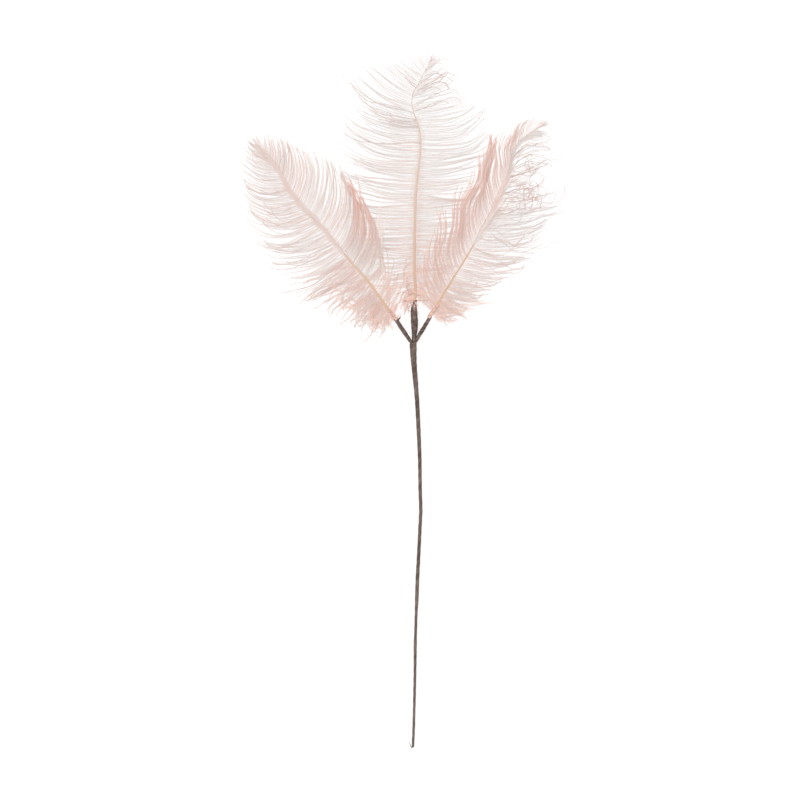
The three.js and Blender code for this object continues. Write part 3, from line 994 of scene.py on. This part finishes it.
def frames_of(points):
    """Forward, sideways and upward directions along each path."""
    forward = np.gradient(points, axis=1)
    forward /= np.linalg.norm(forward, axis=2, keepdims=True) + TINY
    sideways = np.cross(forward, (0, 0, 1.0))
    sideways /= np.linalg.norm(sideways, axis=2, keepdims=True) + TINY
    return forward, sideways, np.cross(sideways, forward)


def threads(paths, root_width, tip_width):
    """Closed tubes with three sides along every path: vertices and triangles."""
    count, points, _ = paths.shape
    _, sideways, upwards = frames_of(paths)
    radius = np.linspace(root_width, tip_width, points)[None, :, None] / 2
    corners = [math.pi / 2 + 2 * math.pi * k / THREAD_SIDES for k in range(THREAD_SIDES)]
    rings = [paths + radius * (math.cos(a) * sideways + math.sin(a) * upwards) for a in corners]
    vertices = np.stack(rings, axis=2).reshape(-1, 3)
    first = np.arange(count) * points * THREAD_SIDES
    last = first + (points - 1) * THREAD_SIDES
    start = (first[:, None] + np.arange(points - 1) * THREAD_SIDES).reshape(-1)
    faces = []
    for k in range(THREAD_SIDES):
        a, b = start + k, start + (k + 1) % THREAD_SIDES
        faces.append(np.column_stack([a, b, b + THREAD_SIDES]))
        faces.append(np.column_stack([a, b + THREAD_SIDES, a + THREAD_SIDES]))
    faces.append(np.column_stack([first, first + 2, first + 1]))
    faces.append(np.column_stack([last, last + 1, last + 2]))
    return vertices, np.vstack(faces)


tube_points, tube_faces = threads(np.linspace((0, 0, 0), (9, 0, 0), STEPS + 1)[None], 1, 1)
print("one thread:", len(tube_points), "vertices and", len(tube_faces), "triangles")

# %% Spikes
FEWEST_SPIKES = 4
SPIKE_CORNERS = 4
SPIKE_FACES = np.array([[0, 2, 1], [0, 1, 3], [1, 2, 3], [2, 0, 3]])
JITTER = 0.4
LEAN_CHANCE = 6
TILT_CHANCE = 22
FOLD_ZONE = (0.25, 0.95)
SHORT_AT_ROOT = (-0.3, 0.25)
SHORT_AT_TIP = (0.5, 1.0)
TIP_LOSS = 0.35
WIDTH_LOSS = 0.35
SPIKE_LENGTHS = (0.75, 1.15)
SPIKE_FLOOR = 0.05


def spikes(paths, spacing, reach, width, lean, fold, rng):
    """Barbules on both sides of every path. reach gives their length in mm for each barb.

    They lean away from the barb by lean degrees, and by fold degrees less towards its tip.

    Returns vertices, triangles and, for each spike, its barb and its place along it."""
    frames = (paths, *frames_of(paths))
    points = paths.shape[1]
    barb, share, hand = [], [], []
    steps = np.linalg.norm(np.diff(paths, axis=1), axis=2)
    for i, length in enumerate(np.cumsum(steps, axis=1)[:, -1]):
        number = max(FEWEST_SPIKES, int(2 * length / spacing))
        barb.append(np.full(number, i))
        share.append((np.arange(number) + 0.5 + rng.uniform(-JITTER, JITTER, number)) / number)
        hand.append(np.where(np.arange(number) % 2 == 0, -1.0, 1.0))
    barb, share, hand = np.concatenate(barb), np.concatenate(share), np.concatenate(hand)
    place = share * (points - 1)
    low = np.minimum(place.astype(int), points - 2)
    rest = (place - low)[:, None]
    base, ahead, across, above = (
        values[barb, low] * (1 - rest) + values[barb, low + 1] * rest for values in frames
    )

    number = len(barb)
    lean = np.radians(rng.normal(lean, LEAN_CHANCE, number) - fold * smooth_step(share, *FOLD_ZONE))
    tilt = np.radians(rng.normal(0, TILT_CHANCE, number))
    outward = across * (hand * np.cos(tilt))[:, None] + above * np.sin(tilt)[:, None]
    direction = ahead * np.cos(lean)[:, None] + outward * np.sin(lean)[:, None]
    direction /= np.linalg.norm(direction, axis=1, keepdims=True)
    shape = smooth_step(share, *SHORT_AT_ROOT) * (1 - TIP_LOSS * smooth_step(share, *SHORT_AT_TIP))
    length = reach[barb] * shape * rng.uniform(*SPIKE_LENGTHS, number)
    width = width * (1 - WIDTH_LOSS * share[:, None])
    flat = np.cross(direction, above)
    flat /= np.linalg.norm(flat, axis=1, keepdims=True) + TINY
    thick = np.cross(flat, direction)
    tip = base + direction * length[:, None]
    tip[:, 2] = np.maximum(tip[:, 2], SPIKE_FLOOR)
    corners = np.stack(
        [base + flat * width / 2, base - flat * width / 2, base + thick * width / 2, tip], axis=1
    )
    first = np.arange(number)[:, None] * SPIKE_CORNERS
    faces = (first[:, None] + SPIKE_FACES[None]).reshape(-1, 3)
    return corners.reshape(-1, 3), faces, barb, share


print("one spike:", SPIKE_CORNERS, "vertices and", len(SPIKE_FACES), "triangles")

# %% [markdown]
# ## The materials of the plumes
#
# Dyed down is matt and lets light through. Its colour isn't even: the dye is deep in the down at the
# base and in a streak on the left, and weak at most of the thin ends. Every vertex carries a pinkness
# between 0 and 1, and a node group turns it into a colour and breaks it up into patches a centimetre
# or two across. The barbs and the quills share it.
#
# Light that passes through a plume makes it glow a little. Rays that really pass through a million
# thin faces would take too long, so the glow is a weak emission in the colour of the dye. Soft down
# glows most, then the fuzz on the shafts, then the combed barbs. Barbs that clump together and the
# horn of the quill glow least.

# %% Node group for dye
DYE_PATCHES = 60
DYE_LIMITS = (0.3, 0.7)

dye_group, dye_in, dye_out = new_group(
    "Dye",
    [("Pale", "NodeSocketColor"), ("Deep", "NodeSocketColor"), ("Unevenness", "NodeSocketFloat")],
    [("Color", "NodeSocketColor")],
)
nodes, links = dye_group.nodes, dye_group.links
pinkness = nodes.new("ShaderNodeAttribute")
pinkness.attribute_name = "pink"
patches = ramp(nodes, links, noise_on_object(nodes, links, DYE_PATCHES), *DYE_LIMITS)
centred = nodes.new("ShaderNodeMath")
centred.operation = "SUBTRACT"
links.new(patches, centred.inputs[0])
centred.inputs[1].default_value = 0.5
scaled = nodes.new("ShaderNodeMath")
scaled.operation = "MULTIPLY_ADD"
links.new(centred.outputs[0], scaled.inputs[0])
links.new(dye_in.outputs["Unevenness"], scaled.inputs[1])
links.new(pinkness.outputs["Fac"], scaled.inputs[2])
dyed = mix_colors(nodes, links, scaled.outputs[0], dye_in.outputs["Pale"], dye_in.outputs["Deep"])
links.new(dyed, dye_out.inputs["Color"])
print("dye group sockets:", [item.name for item in dye_group.interface.items_tree])

# %% Dyed materials
PLUME_SHINE = 0.2


def dyed_material(name, pale, deep, unevenness, glow, roughness=0.75, sheen=0.1):
    dye = {"Pale": (*pale, 1), "Deep": (*deep, 1), "Unevenness": unevenness}
    look = {
        "Emission Strength": glow,
        "Roughness": roughness,
        "Specular IOR Level": PLUME_SHINE,
        "Sheen Weight": sheen,
    }
    material, _, links, shader, group = group_material(name, dye_group, dye, look)
    links.new(group.outputs["Color"], shader.inputs["Emission Color"])
    return material


BARB = dyed_material("dyed barbs", (0.585, 0.55, 0.53), (0.635, 0.385, 0.315), 0.2, glow=0.39)
SOFT = dyed_material("soft down", (0.6, 0.545, 0.52), (0.64, 0.43, 0.36), 0.3, glow=0.62)
FUZZ = dyed_material("shaft fuzz", (0.59, 0.545, 0.525), (0.64, 0.41, 0.34), 0.2, glow=0.51)
CLUMPED = dyed_material("clumped barbs", (0.53, 0.465, 0.45), (0.58, 0.37, 0.32), 0.2, glow=0.25)
QUILL = dyed_material(
    "quill", (0.54, 0.485, 0.45), (0.5, 0.33, 0.222), 0.15, glow=0.25, roughness=0.4, sheen=0.0
)
print("dyed materials:", [material.name for material in (BARB, SOFT, FUZZ, CLUMPED, QUILL)])

# %% [markdown]
# ## Growing a vane
#
# Now the parts meet: the paths of a vane become threads and spikes, joined in one mesh. The habits
# of each vane are set beside it: how many barbs, how strongly they cling, how they ripple.

# %% Threads and spikes in one piece
FLOOR_GAP = 0.35
SPIKE_SPACING = 0.59
SPIKE_WIDTH = 0.35
SPIKE_DYE = 0.6
LOOK = {
    "material": BARB,
    "widths": (0.42, 0.34),
    "broad": 1.0,
    "lean": 56,
    "fold": 20,
    "thread_dye": 1.7,
}


def mesh_from_arrays(name, vertices, faces, pink):
    """A mesh object from arrays of places in mm, triangles, and a pinkness for every vertex."""
    mesh = bpy.data.meshes.new(name)
    mesh.vertices.add(len(vertices))
    mesh.vertices.foreach_set("co", in_frame(vertices).astype(np.float32).ravel())
    mesh.loops.add(faces.size)
    mesh.loops.foreach_set("vertex_index", faces.astype(np.int32).ravel())
    mesh.polygons.add(len(faces))
    mesh.polygons.foreach_set("loop_start", np.arange(0, faces.size, 3, dtype=np.int32))
    mesh.update(calc_edges=True)
    attribute = mesh.attributes.new("pink", "FLOAT", "POINT")
    attribute.data.foreach_set("value", pink.astype(np.float32))
    return add_object(name, mesh)


def plumage(name, plume, paths, reach, pink, blush, rng, **changes):
    """One piece of threads and barbules along the paths. blush is the pinkness gained at the tips."""
    look = {**LOOK, **changes}
    paths[..., 2] = np.maximum(paths[..., 2], FLOOR_GAP)
    thread_points, thread_faces = threads(paths, *look["widths"])
    spike_points, spike_faces, barb, share = spikes(
        paths, SPIKE_SPACING, reach, look["broad"] * SPIKE_WIDTH, look["lean"], look["fold"], rng
    )
    v = np.linspace(0, 1, paths.shape[1])
    thread_pink = look["thread_dye"] * (pink[:, None] + blush[:, None] * v).ravel()
    spike_pink = SPIKE_DYE * (pink[barb] + blush[barb] * share)
    tones = [np.repeat(thread_pink, THREAD_SIDES), np.repeat(spike_pink, SPIKE_CORNERS)]
    vertices = np.vstack([thread_points, spike_points])
    faces = np.vstack([thread_faces, spike_faces + len(thread_points)])
    piece = mesh_from_arrays(name, vertices, faces, np.clip(np.concatenate(tones), 0, 1))
    finish_piece(piece, look["material"], "plume", plume["node"])


print("barbules every", SPIKE_SPACING, "mm, threads at least", FLOOR_GAP, "mm above the floor")

# %% Vanes
# hook, ripple and crimp are in degrees, lift, fray and down in mm. cling is how far neighbours close
# up, and strand how many at most. Partings are shares of the shaft with degrees. wild, crowd and
# blush change along the shaft: each is a few shares with a value.
HABIT = {
    "barbs": 112,
    "wild": ((0, 3.5), (0.12, 2.5), (0.3, 1), (1, 1)),
    "hook": 7.0,
    "ripple": 4.0,
    "ripple_drift": 5.0,
    "waves": 1.3,
    "crimp": 2.5,
    "lift": 2.0,
    "sway": 1.0,
    "strand": 4,
    "cling": 0.85,
    "base_cling": 1.0,
    "ragged": 0.2,
    "fray": 0.8,
    "fold": 36,
    "down": 2.6,
    "partings": (),
    "crowd": ((0, 1), (1, 1)),
    "blush": ((0, -0.1), (1, -0.1)),
}


def vane(name, plume, side, seed, **changes):
    """One vane of a feather, with the changes from the usual habits that it shows."""
    habit = {**HABIT, **changes}
    rng = np.random.default_rng(seed)
    paths, column = barb_paths(plume, side, habit, rng)
    pink = column[PINK] + chance(rng, len(paths), PINK_CHANCE)
    blush = np.interp(column[AT], *np.transpose(habit["blush"]))
    reach = habit["down"] * column[DOWN]
    plumage(name, plume, paths, reach, pink, blush, rng, fold=habit["fold"])


vane(
    "left_outer_vane", LEFT, "outer", seed=11,
    partings=((0.21, 5), (0.36, 2), (0.55, 4), (0.68, 3)), crimp=3.5, down=3.0, base_cling=0.3,
    wild=((0, 5), (0.15, 4), (0.35, 2.2), (0.5, 1.2), (1, 1)),
)
vane(
    "left_inner_vane", LEFT, "inner", seed=12,
    barbs=130, cling=0.3, fold=24, ragged=0.15, partings=((0.13, 8),), sway=0.6, hook=4.0, down=2.5,
    crowd=((0, 0.5), (0.15, 0.6), (0.24, 1.2), (0.31, 1.9), (0.38, 1.9), (0.41, 0.7), (0.48, 1), (1, 1)),
    blush=((0, 0.1), (0.16, 0.2), (0.22, 0.6), (0.31, 1.2), (0.38, 1.5), (0.4, 0.0), (1, 0.1)),
)
vane(
    "centre_left_vane", CENTRE, "outer", seed=21,
    barbs=134, cling=0.6, ragged=0.3, blush=((0, -0.1), (0.3, -0.2), (0.7, -0.1), (1, 0.05)),
    wild=((0, 3.5), (0.12, 2.5), (0.3, 1.5), (1, 1.7)), partings=((0.74, 4),),
    crowd=((0, 1), (0.7, 1), (0.85, 1.15), (1, 1)),
)
vane(
    "centre_right_vane", CENTRE, "inner", seed=22,
    barbs=134, cling=0.6, ragged=0.3, blush=((0, -0.1), (0.3, -0.2), (0.7, 0), (1, 0.1)),
    wild=((0, 3.5), (0.12, 2.5), (0.3, 1.5), (1, 1.7)), partings=((0.8, 5),),
    crowd=((0, 1), (0.7, 1), (0.82, 1.1), (0.92, 0.9), (1, 0.6)),
)
vane(
    "right_outer_vane", RIGHT, "outer", seed=31,
    wild=((0, 3), (0.15, 2), (0.3, 1.3), (0.55, 1.6), (0.65, 4), (0.9, 3), (1, 1)),
    base_cling=0.5, strand=6, fray=1.4, partings=((0.36, 6), (0.6, 6)), hook=11.0, crimp=4.0,
    crowd=((0, 1), (0.52, 1.1), (0.6, 0.35), (0.8, 0.35), (0.88, 1), (1, 1)),
)
vane(
    "right_inner_vane", RIGHT, "inner", seed=32,
    barbs=130, ripple=12.0, waves=1.6, cling=0.3, fold=24, ragged=0.15, hook=3.0, sway=0.4, crimp=1.5,
    down=1.9, blush=((0, 0.2), (0.1, 0.3), (0.2, 0.5), (0.6, 0.5), (0.75, 0.2), (1, 0.1)),
    crowd=((0, 1.1), (0.1, 1.7), (0.22, 1.6), (0.35, 1.2), (0.5, 1.2), (0.6, 0.9), (0.88, 0.8), (1, 0.7)),
)

# %% [markdown]
# ## Down, curls and tangles
#
# A combed field alone looks like a drawing of a feather. The real plume has woolly down at its base,
# a rolled ball of fluff, hooked tips, a dark tangle at the foot of the centre quill, and on the right
# a nest of strands that came loose. They could be scattered at random, but then some would hang in
# the air. So they come in bunches that all start on the shaft. A bunch has its own length, bearing
# and curl, and its barbs differ a little.

# %% Bunches of loose barbs
PLACE, SPREAD, COUNT, REACH, BEARING, FAN, TURN, LATE, WAVE, REST, TONE, FLUFF = range(12)
CURL_POWER = 1.2
CLIMB_POWER = 1.2
CURL_SHARES = (0.6, 1.3)
LENGTH_SHARES = (0.6, 1.15)
WAVES = (1.0, 3.0)
REST_CHANCE = 2.5
TONE_CHANCE = 0.18


def loose_barbs(name, plume, bunches, look, seed):
    """One piece of loose barbs. A bunch is a row with the twelve columns named above.

    PLACE and SPREAD are shares of the shaft. REACH and FLUFF are the lengths of its barbs and of their
    barbules in mm. BEARING, FAN and TURN are where its barbs point, how far they fan out and how far
    they curl, in degrees. LATE is where along them the curl begins, WAVE is how many degrees they
    waver, REST is the height of their tips in mm, and TONE is their pinkness."""
    rng = np.random.default_rng(seed)
    rows = np.array([row for row in bunches for _ in range(row[COUNT])], float)
    count = len(rows)
    at = np.clip(rows[:, PLACE] + rows[:, SPREAD] * rng.uniform(-1, 1, count), 0, 1)
    root = on_route(smooth_route(plume["shaft"]), at)
    late = rows[:, LATE][:, None]
    curl = np.clip((MIDDLES - late) / (1 - late), 0, 1) ** CURL_POWER
    bearing = (rows[:, BEARING] + rows[:, FAN] * rng.normal(0, 1, count))[:, None]
    bearing = bearing + (rows[:, TURN] * rng.uniform(*CURL_SHARES, count))[:, None] * curl
    phase = rng.uniform(0, 2 * math.pi, (count, 1))
    pace = rng.uniform(*WAVES, (count, 1))
    bearing += rows[:, WAVE][:, None] * np.sin(2 * math.pi * pace * MIDDLES + phase)
    length = rows[:, REACH] * rng.uniform(*LENGTH_SHARES, count)
    rest = rows[:, REST] + REST_CHANCE * rng.normal(0, 1, count)
    climb = (rest - root[:, 2])[:, None] * ENDS**CLIMB_POWER
    paths = walk(root, bearing, length, root[:, 2:] + climb)
    pink = rows[:, TONE] + TONE_CHANCE * rng.normal(0, 1, count)
    plumage(name, plume, paths, rows[:, FLUFF], pink, np.zeros(count), rng, **look)


FINE = {"widths": (0.3, 0.16), "thread_dye": 0.8}
DOWN_LOOK = {"material": SOFT, "broad": 1.5, **FINE}
CLUMPED_LOOK = {"material": CLUMPED, "widths": (0.36, 0.56)}
print("columns of a bunch:", FLUFF + 1)

# %% Down at the base of each feather
LEFT_DOWN = [
    (0.01, 0.01, 9, 18, 236, 26, 110, 0.2, 30, 9, 0.9, 3.0),
    (0.04, 0.02, 12, 30, 230, 15, -110, 0.35, 30, 5, 0.9, 3.2),
    (0.08, 0.02, 11, 40, 220, 12, 100, 0.5, 26, 3, 0.6, 3.4),
    (0.13, 0.02, 9, 46, 216, 10, -80, 0.5, 22, 2, 0.8, 3.4),
    (0.19, 0.03, 6, 54, 208, 12, 80, 0.6, 22, 2, 0.5, 3.4),
    (0.3, 0.05, 5, 46, 208, 8, -20, 0.5, 12, 2, 0.6, 3.8),
    (0.02, 0.02, 8, 14, 30, 30, 90, 0.2, 20, 20, 0.9, 3.2),
    (0.05, 0.01, 6, 44, 84, 3, 330, 0.66, 3, 26, 0.9, 1.6),
    (0.17, 0.01, 5, 38, 356, 3, -330, 0.66, 3, 26, 0.8, 1.6),
    (0.11, 0.03, 7, 22, 46, 16, 60, 0.3, 16, 18, 0.4, 3.0),
    (0.2, 0.03, 6, 26, 38, 12, 50, 0.4, 14, 18, 0.4, 3.0),
    (0.26, 0.05, 9, 72, 58, 6, 48, 0.3, 8, 30, 0.05, 2.8),
]
CENTRE_DOWN = [
    (0.0, 0.01, 8, 13, 174, 14, -20, 0.5, 14, 9, 1.5, 1.2),
    (0.0, 0.01, 12, 10, 262, 30, 60, 0.2, 24, 10.5, 1.1, 0.8),
    (0.03, 0.02, 9, 20, 196, 16, 110, 0.2, 18, 4, 1.0, 2.8),
    (0.13, 0.06, 9, 22, 196, 14, 130, 0.2, 16, 5, 0.8, 2.4),
    (0.03, 0.02, 8, 20, 0, 18, -60, 0.3, 20, 6, 1.0, 2.8),
    (0.1, 0.06, 8, 24, 10, 20, 70, 0.3, 18, 5, 0.7, 2.8),
]
RIGHT_DOWN = [
    (0.03, 0.02, 9, 20, 304, 18, 110, 0.2, 28, 8, 0.8, 3.2),
    (0.06, 0.02, 10, 32, 324, 14, 90, 0.4, 26, 4, 0.7, 3.4),
    (0.11, 0.02, 8, 43, 334, 12, 80, 0.5, 22, 2, 0.5, 3.4),
    (0.17, 0.03, 6, 50, 344, 12, 70, 0.6, 20, 2, 0.4, 3.4),
    (0.05, 0.03, 8, 20, 128, 18, -80, 0.2, 22, 18, 0.6, 3.0),
    (0.11, 0.03, 8, 30, 122, 14, -60, 0.3, 18, 20, 0.6, 3.0),
    (0.46, 0.08, 8, 64, 63, 4, 14, 0.5, 5, 46, 0.5, 1.8),
    (0.36, 0.05, 4, 60, 54, 5, 16, 0.5, 6, 38, 0.4, 1.8),
]
loose_barbs("left_base_down", LEFT, LEFT_DOWN, DOWN_LOOK, seed=41)
loose_barbs("centre_base_down", CENTRE, CENTRE_DOWN, DOWN_LOOK, seed=42)
loose_barbs("right_base_down", RIGHT, RIGHT_DOWN, DOWN_LOOK, seed=43)

# %% Hooked tips, the tangle at the centre quill and the loose nest
LEFT_TIPS = [
    (0.58, 0.03, 5, 74, 206, 3, -86, 0.25, 4, 2, 0.5, 0.8),
    (0.66, 0.03, 4, 68, 200, 3, -80, 0.3, 4, 2, 0.4, 0.8),
    (0.73, 0.03, 4, 60, 192, 4, -76, 0.3, 4, 3, 0.5, 0.8),
    (0.83, 0.03, 4, 42, 180, 5, -60, 0.3, 5, 7, 0.5, 0.8),
    (0.92, 0.03, 3, 26, 164, 6, -40, 0.3, 5, 15, 0.6, 0.8),
    (0.45, 0.04, 4, 78, 210, 3, -50, 0.45, 5, 1.5, 0.4, 0.8),
    (0.32, 0.05, 5, 74, 216, 5, -30, 0.5, 8, 1.5, 0.4, 0.8),
    (0.8, 0.05, 5, 46, 72, 6, 40, 0.4, 10, 20, 0.4, 0.8),
]
CENTRE_TIPS = [
    (0.8, 0.04, 6, 56, 28, 6, -100, 0.7, 6, 6, 0.4, 1.0),
    (0.86, 0.04, 5, 46, 32, 7, -95, 0.6, 8, 8, 0.4, 1.0),
    (0.92, 0.03, 3, 28, 36, 8, -80, 0.6, 8, 12, 0.4, 1.0),
    (0.985, 0.015, 5, 10, 62, 14, -60, 0.4, 8, 20, 0.6, 0.8),
    (0.72, 0.02, 5, 50, 178, 4, -36, 0.2, 4, 5, 0.6, 2.0),
    (0.65, 0.02, 3, 84, 178, 3, -50, 0.6, 5, 3, 0.4, 1.0),
    (0.75, 0.03, 4, 84, 166, 4, -50, 0.5, 6, 4, 0.4, 1.0),
    (0.9, 0.04, 4, 26, 145, 8, -50, 0.5, 8, 12, 0.2, 1.0),
    (0.0, 0.01, 4, 22, 276, 7, 14, 0.4, 8, 3, 0.2, 0.3),
    (0.0, 0.01, 5, 19, 218, 8, 50, 0.3, 12, 3, 0.2, 0.3),
]
CENTRE_FOOT = [
    (0.0, 0.01, 4, 15, 172, 6, 24, 0.3, 14, 9, 1.3, 0.5),
    (0.0, 0.01, 3, 14, 196, 8, -50, 0.3, 16, 8, 1.2, 0.5),
    (0.0, 0.01, 4, 18, 6, 6, -20, 0.3, 12, 8, 1.1, 0.5),
    (0.02, 0.01, 3, 12, 150, 12, 130, 0.3, 14, 9, 1.1, 0.4),
    (0.02, 0.01, 3, 11, 30, 12, -130, 0.3, 14, 9, 1.1, 0.4),
    (0.05, 0.02, 4, 15, 200, 14, -200, 0.3, 10, 8, 0.9, 0.4),
]
RIGHT_TANGLE = [
    (0.77, 0.03, 6, 44, 54, 6, -84, 0.1, 6, 32, 0.45, 0.8),
    (0.73, 0.03, 5, 47, 42, 8, -64, 0.15, 8, 26, 0.5, 0.8),
    (0.7, 0.01, 3, 50, 22, 3, 12, 0.5, 5, 24, 0.9, 1.0),
    (0.68, 0.06, 7, 60, 14, 22, 350, 0.45, 14, 20, 0.45, 0.4),
    (0.64, 0.06, 7, 72, 6, 22, -330, 0.45, 14, 16, 0.45, 0.4),
    (0.66, 0.05, 5, 52, 30, 12, -150, 0.15, 12, 16, 0.4, 0.5),
    (0.6, 0.05, 5, 70, 4, 14, 200, 0.45, 18, 12, 0.4, 0.5),
    (0.56, 0.04, 5, 82, 2, 8, 90, 0.5, 16, 10, 0.4, 0.6),
    (0.5, 0.04, 5, 78, 352, 6, 75, 0.55, 16, 5, 0.4, 0.6),
    (0.43, 0.05, 5, 79, 342, 8, 80, 0.5, 18, 4, 0.4, 0.6),
    (0.33, 0.05, 5, 76, 336, 8, 60, 0.5, 18, 3, 0.4, 0.6),
]
loose_barbs("left_curled_tips", LEFT, LEFT_TIPS, CLUMPED_LOOK, seed=46)
loose_barbs("centre_hooked_tips", CENTRE, CENTRE_TIPS, CLUMPED_LOOK, seed=44)
loose_barbs("centre_foot_tangle", CENTRE, CENTRE_FOOT, CLUMPED_LOOK, seed=47)
loose_barbs("right_loose_nest", RIGHT, RIGHT_TANGLE, CLUMPED_LOOK, seed=45)

# %% [markdown]
# ## Fuzz along the shafts
#
# In the upper parts of the side feathers the shaft can't be seen: a pale band of down lies over it.
# The down could be painted on the shaft, but then its edge would be sharp. So a few loose threads
# wander along the shaft, and their barbules make a soft band. In the centre feather the same threads
# lie under the shaft, where they only tint the roots of the barbs.

# %% Fuzz along the shafts
START_CHANCE = 0.15
RISE_CHANCE = 0.4


def shaft_fuzz(name, plume, seed, start, end, lines, spread, lift, reach, lean, tone):
    """A soft band of wandering threads along the shaft, which hides it if they are lifted."""
    rng = np.random.default_rng(seed)
    starts = start + START_CHANCE * rng.uniform(0, 1, lines)
    at = np.linspace(starts, np.full(lines, end), STEPS + 1, axis=1)
    paths = on_route(smooth_route(plume["shaft"]), at)
    paths += rng.normal(0, 1, paths.shape) * (spread, spread, RISE_CHANCE) + (0, 0, lift)
    reaches, pink, blush = (np.full(lines, value, float) for value in (reach, tone, 0))
    plumage(name, plume, paths, reaches, pink, blush, rng, material=FUZZ, lean=lean, fold=0, **FINE)


shaft_fuzz(
    "left_shaft_fuzz", LEFT, seed=51,
    start=0.32, end=1.0, lines=8, spread=1.5, lift=1.8, reach=3.6, lean=58, tone=0.42,
)
shaft_fuzz(
    "right_shaft_fuzz", RIGHT, seed=53,
    start=0.36, end=0.9, lines=6, spread=0.9, lift=1.5, reach=3.2, lean=60, tone=0.12,
)
shaft_fuzz(
    "centre_shaft_fuzz", CENTRE, seed=52,
    start=0.0, end=0.75, lines=2, spread=0.4, lift=-0.8, reach=9.0, lean=84, tone=0.5,
)

# %% [markdown]
# ## The quills
#
# The shaft of a feather is a tapering horn rod, tan and a little glossy at the base and thread-thin
# at the tip. It is a bent rod like the branches, and its pinkness falls from base to tip.

# %% Shafts
QUILL_POINTS = 200
QUILL_TAPER = 0.82
TAPER_POWER = 0.8
FLATNESS = 0.9
GROOVE = 0.35
GROOVE_ANGLE = 0.5
TONE_POWER = 1.5


def quill(name, plume, base_tone, tip_tone):
    """The shaft of a feather: a tapering rod with a groove along its top."""

    def radius_at(share, angle):
        width = plume["quill"] * (1 - QUILL_TAPER * share**TAPER_POWER) / 2
        groove = GROOVE * math.exp(-(((angle - math.pi / 2) / GROOVE_ANGLE) ** 2))
        return (width * MM, width * MM * (FLATNESS - groove))

    def tone_at(share, angle):
        return base_tone + (tip_tone - base_tone) * share**TONE_POWER

    route = in_frame(smooth_route(plume["shaft"], QUILL_POINTS))
    rod = bent_rod(name, route, sides=16, cuts=90, radius_at=radius_at, tags=[("pink", tone_at)])
    finish_piece(rod, QUILL, "plume", plume["node"])


quill("left_quill", LEFT, base_tone=0.9, tip_tone=0.3)
quill("centre_quill", CENTRE, base_tone=0.8, tip_tone=0.15)
quill("right_quill", RIGHT, base_tone=1.1, tip_tone=0.2)
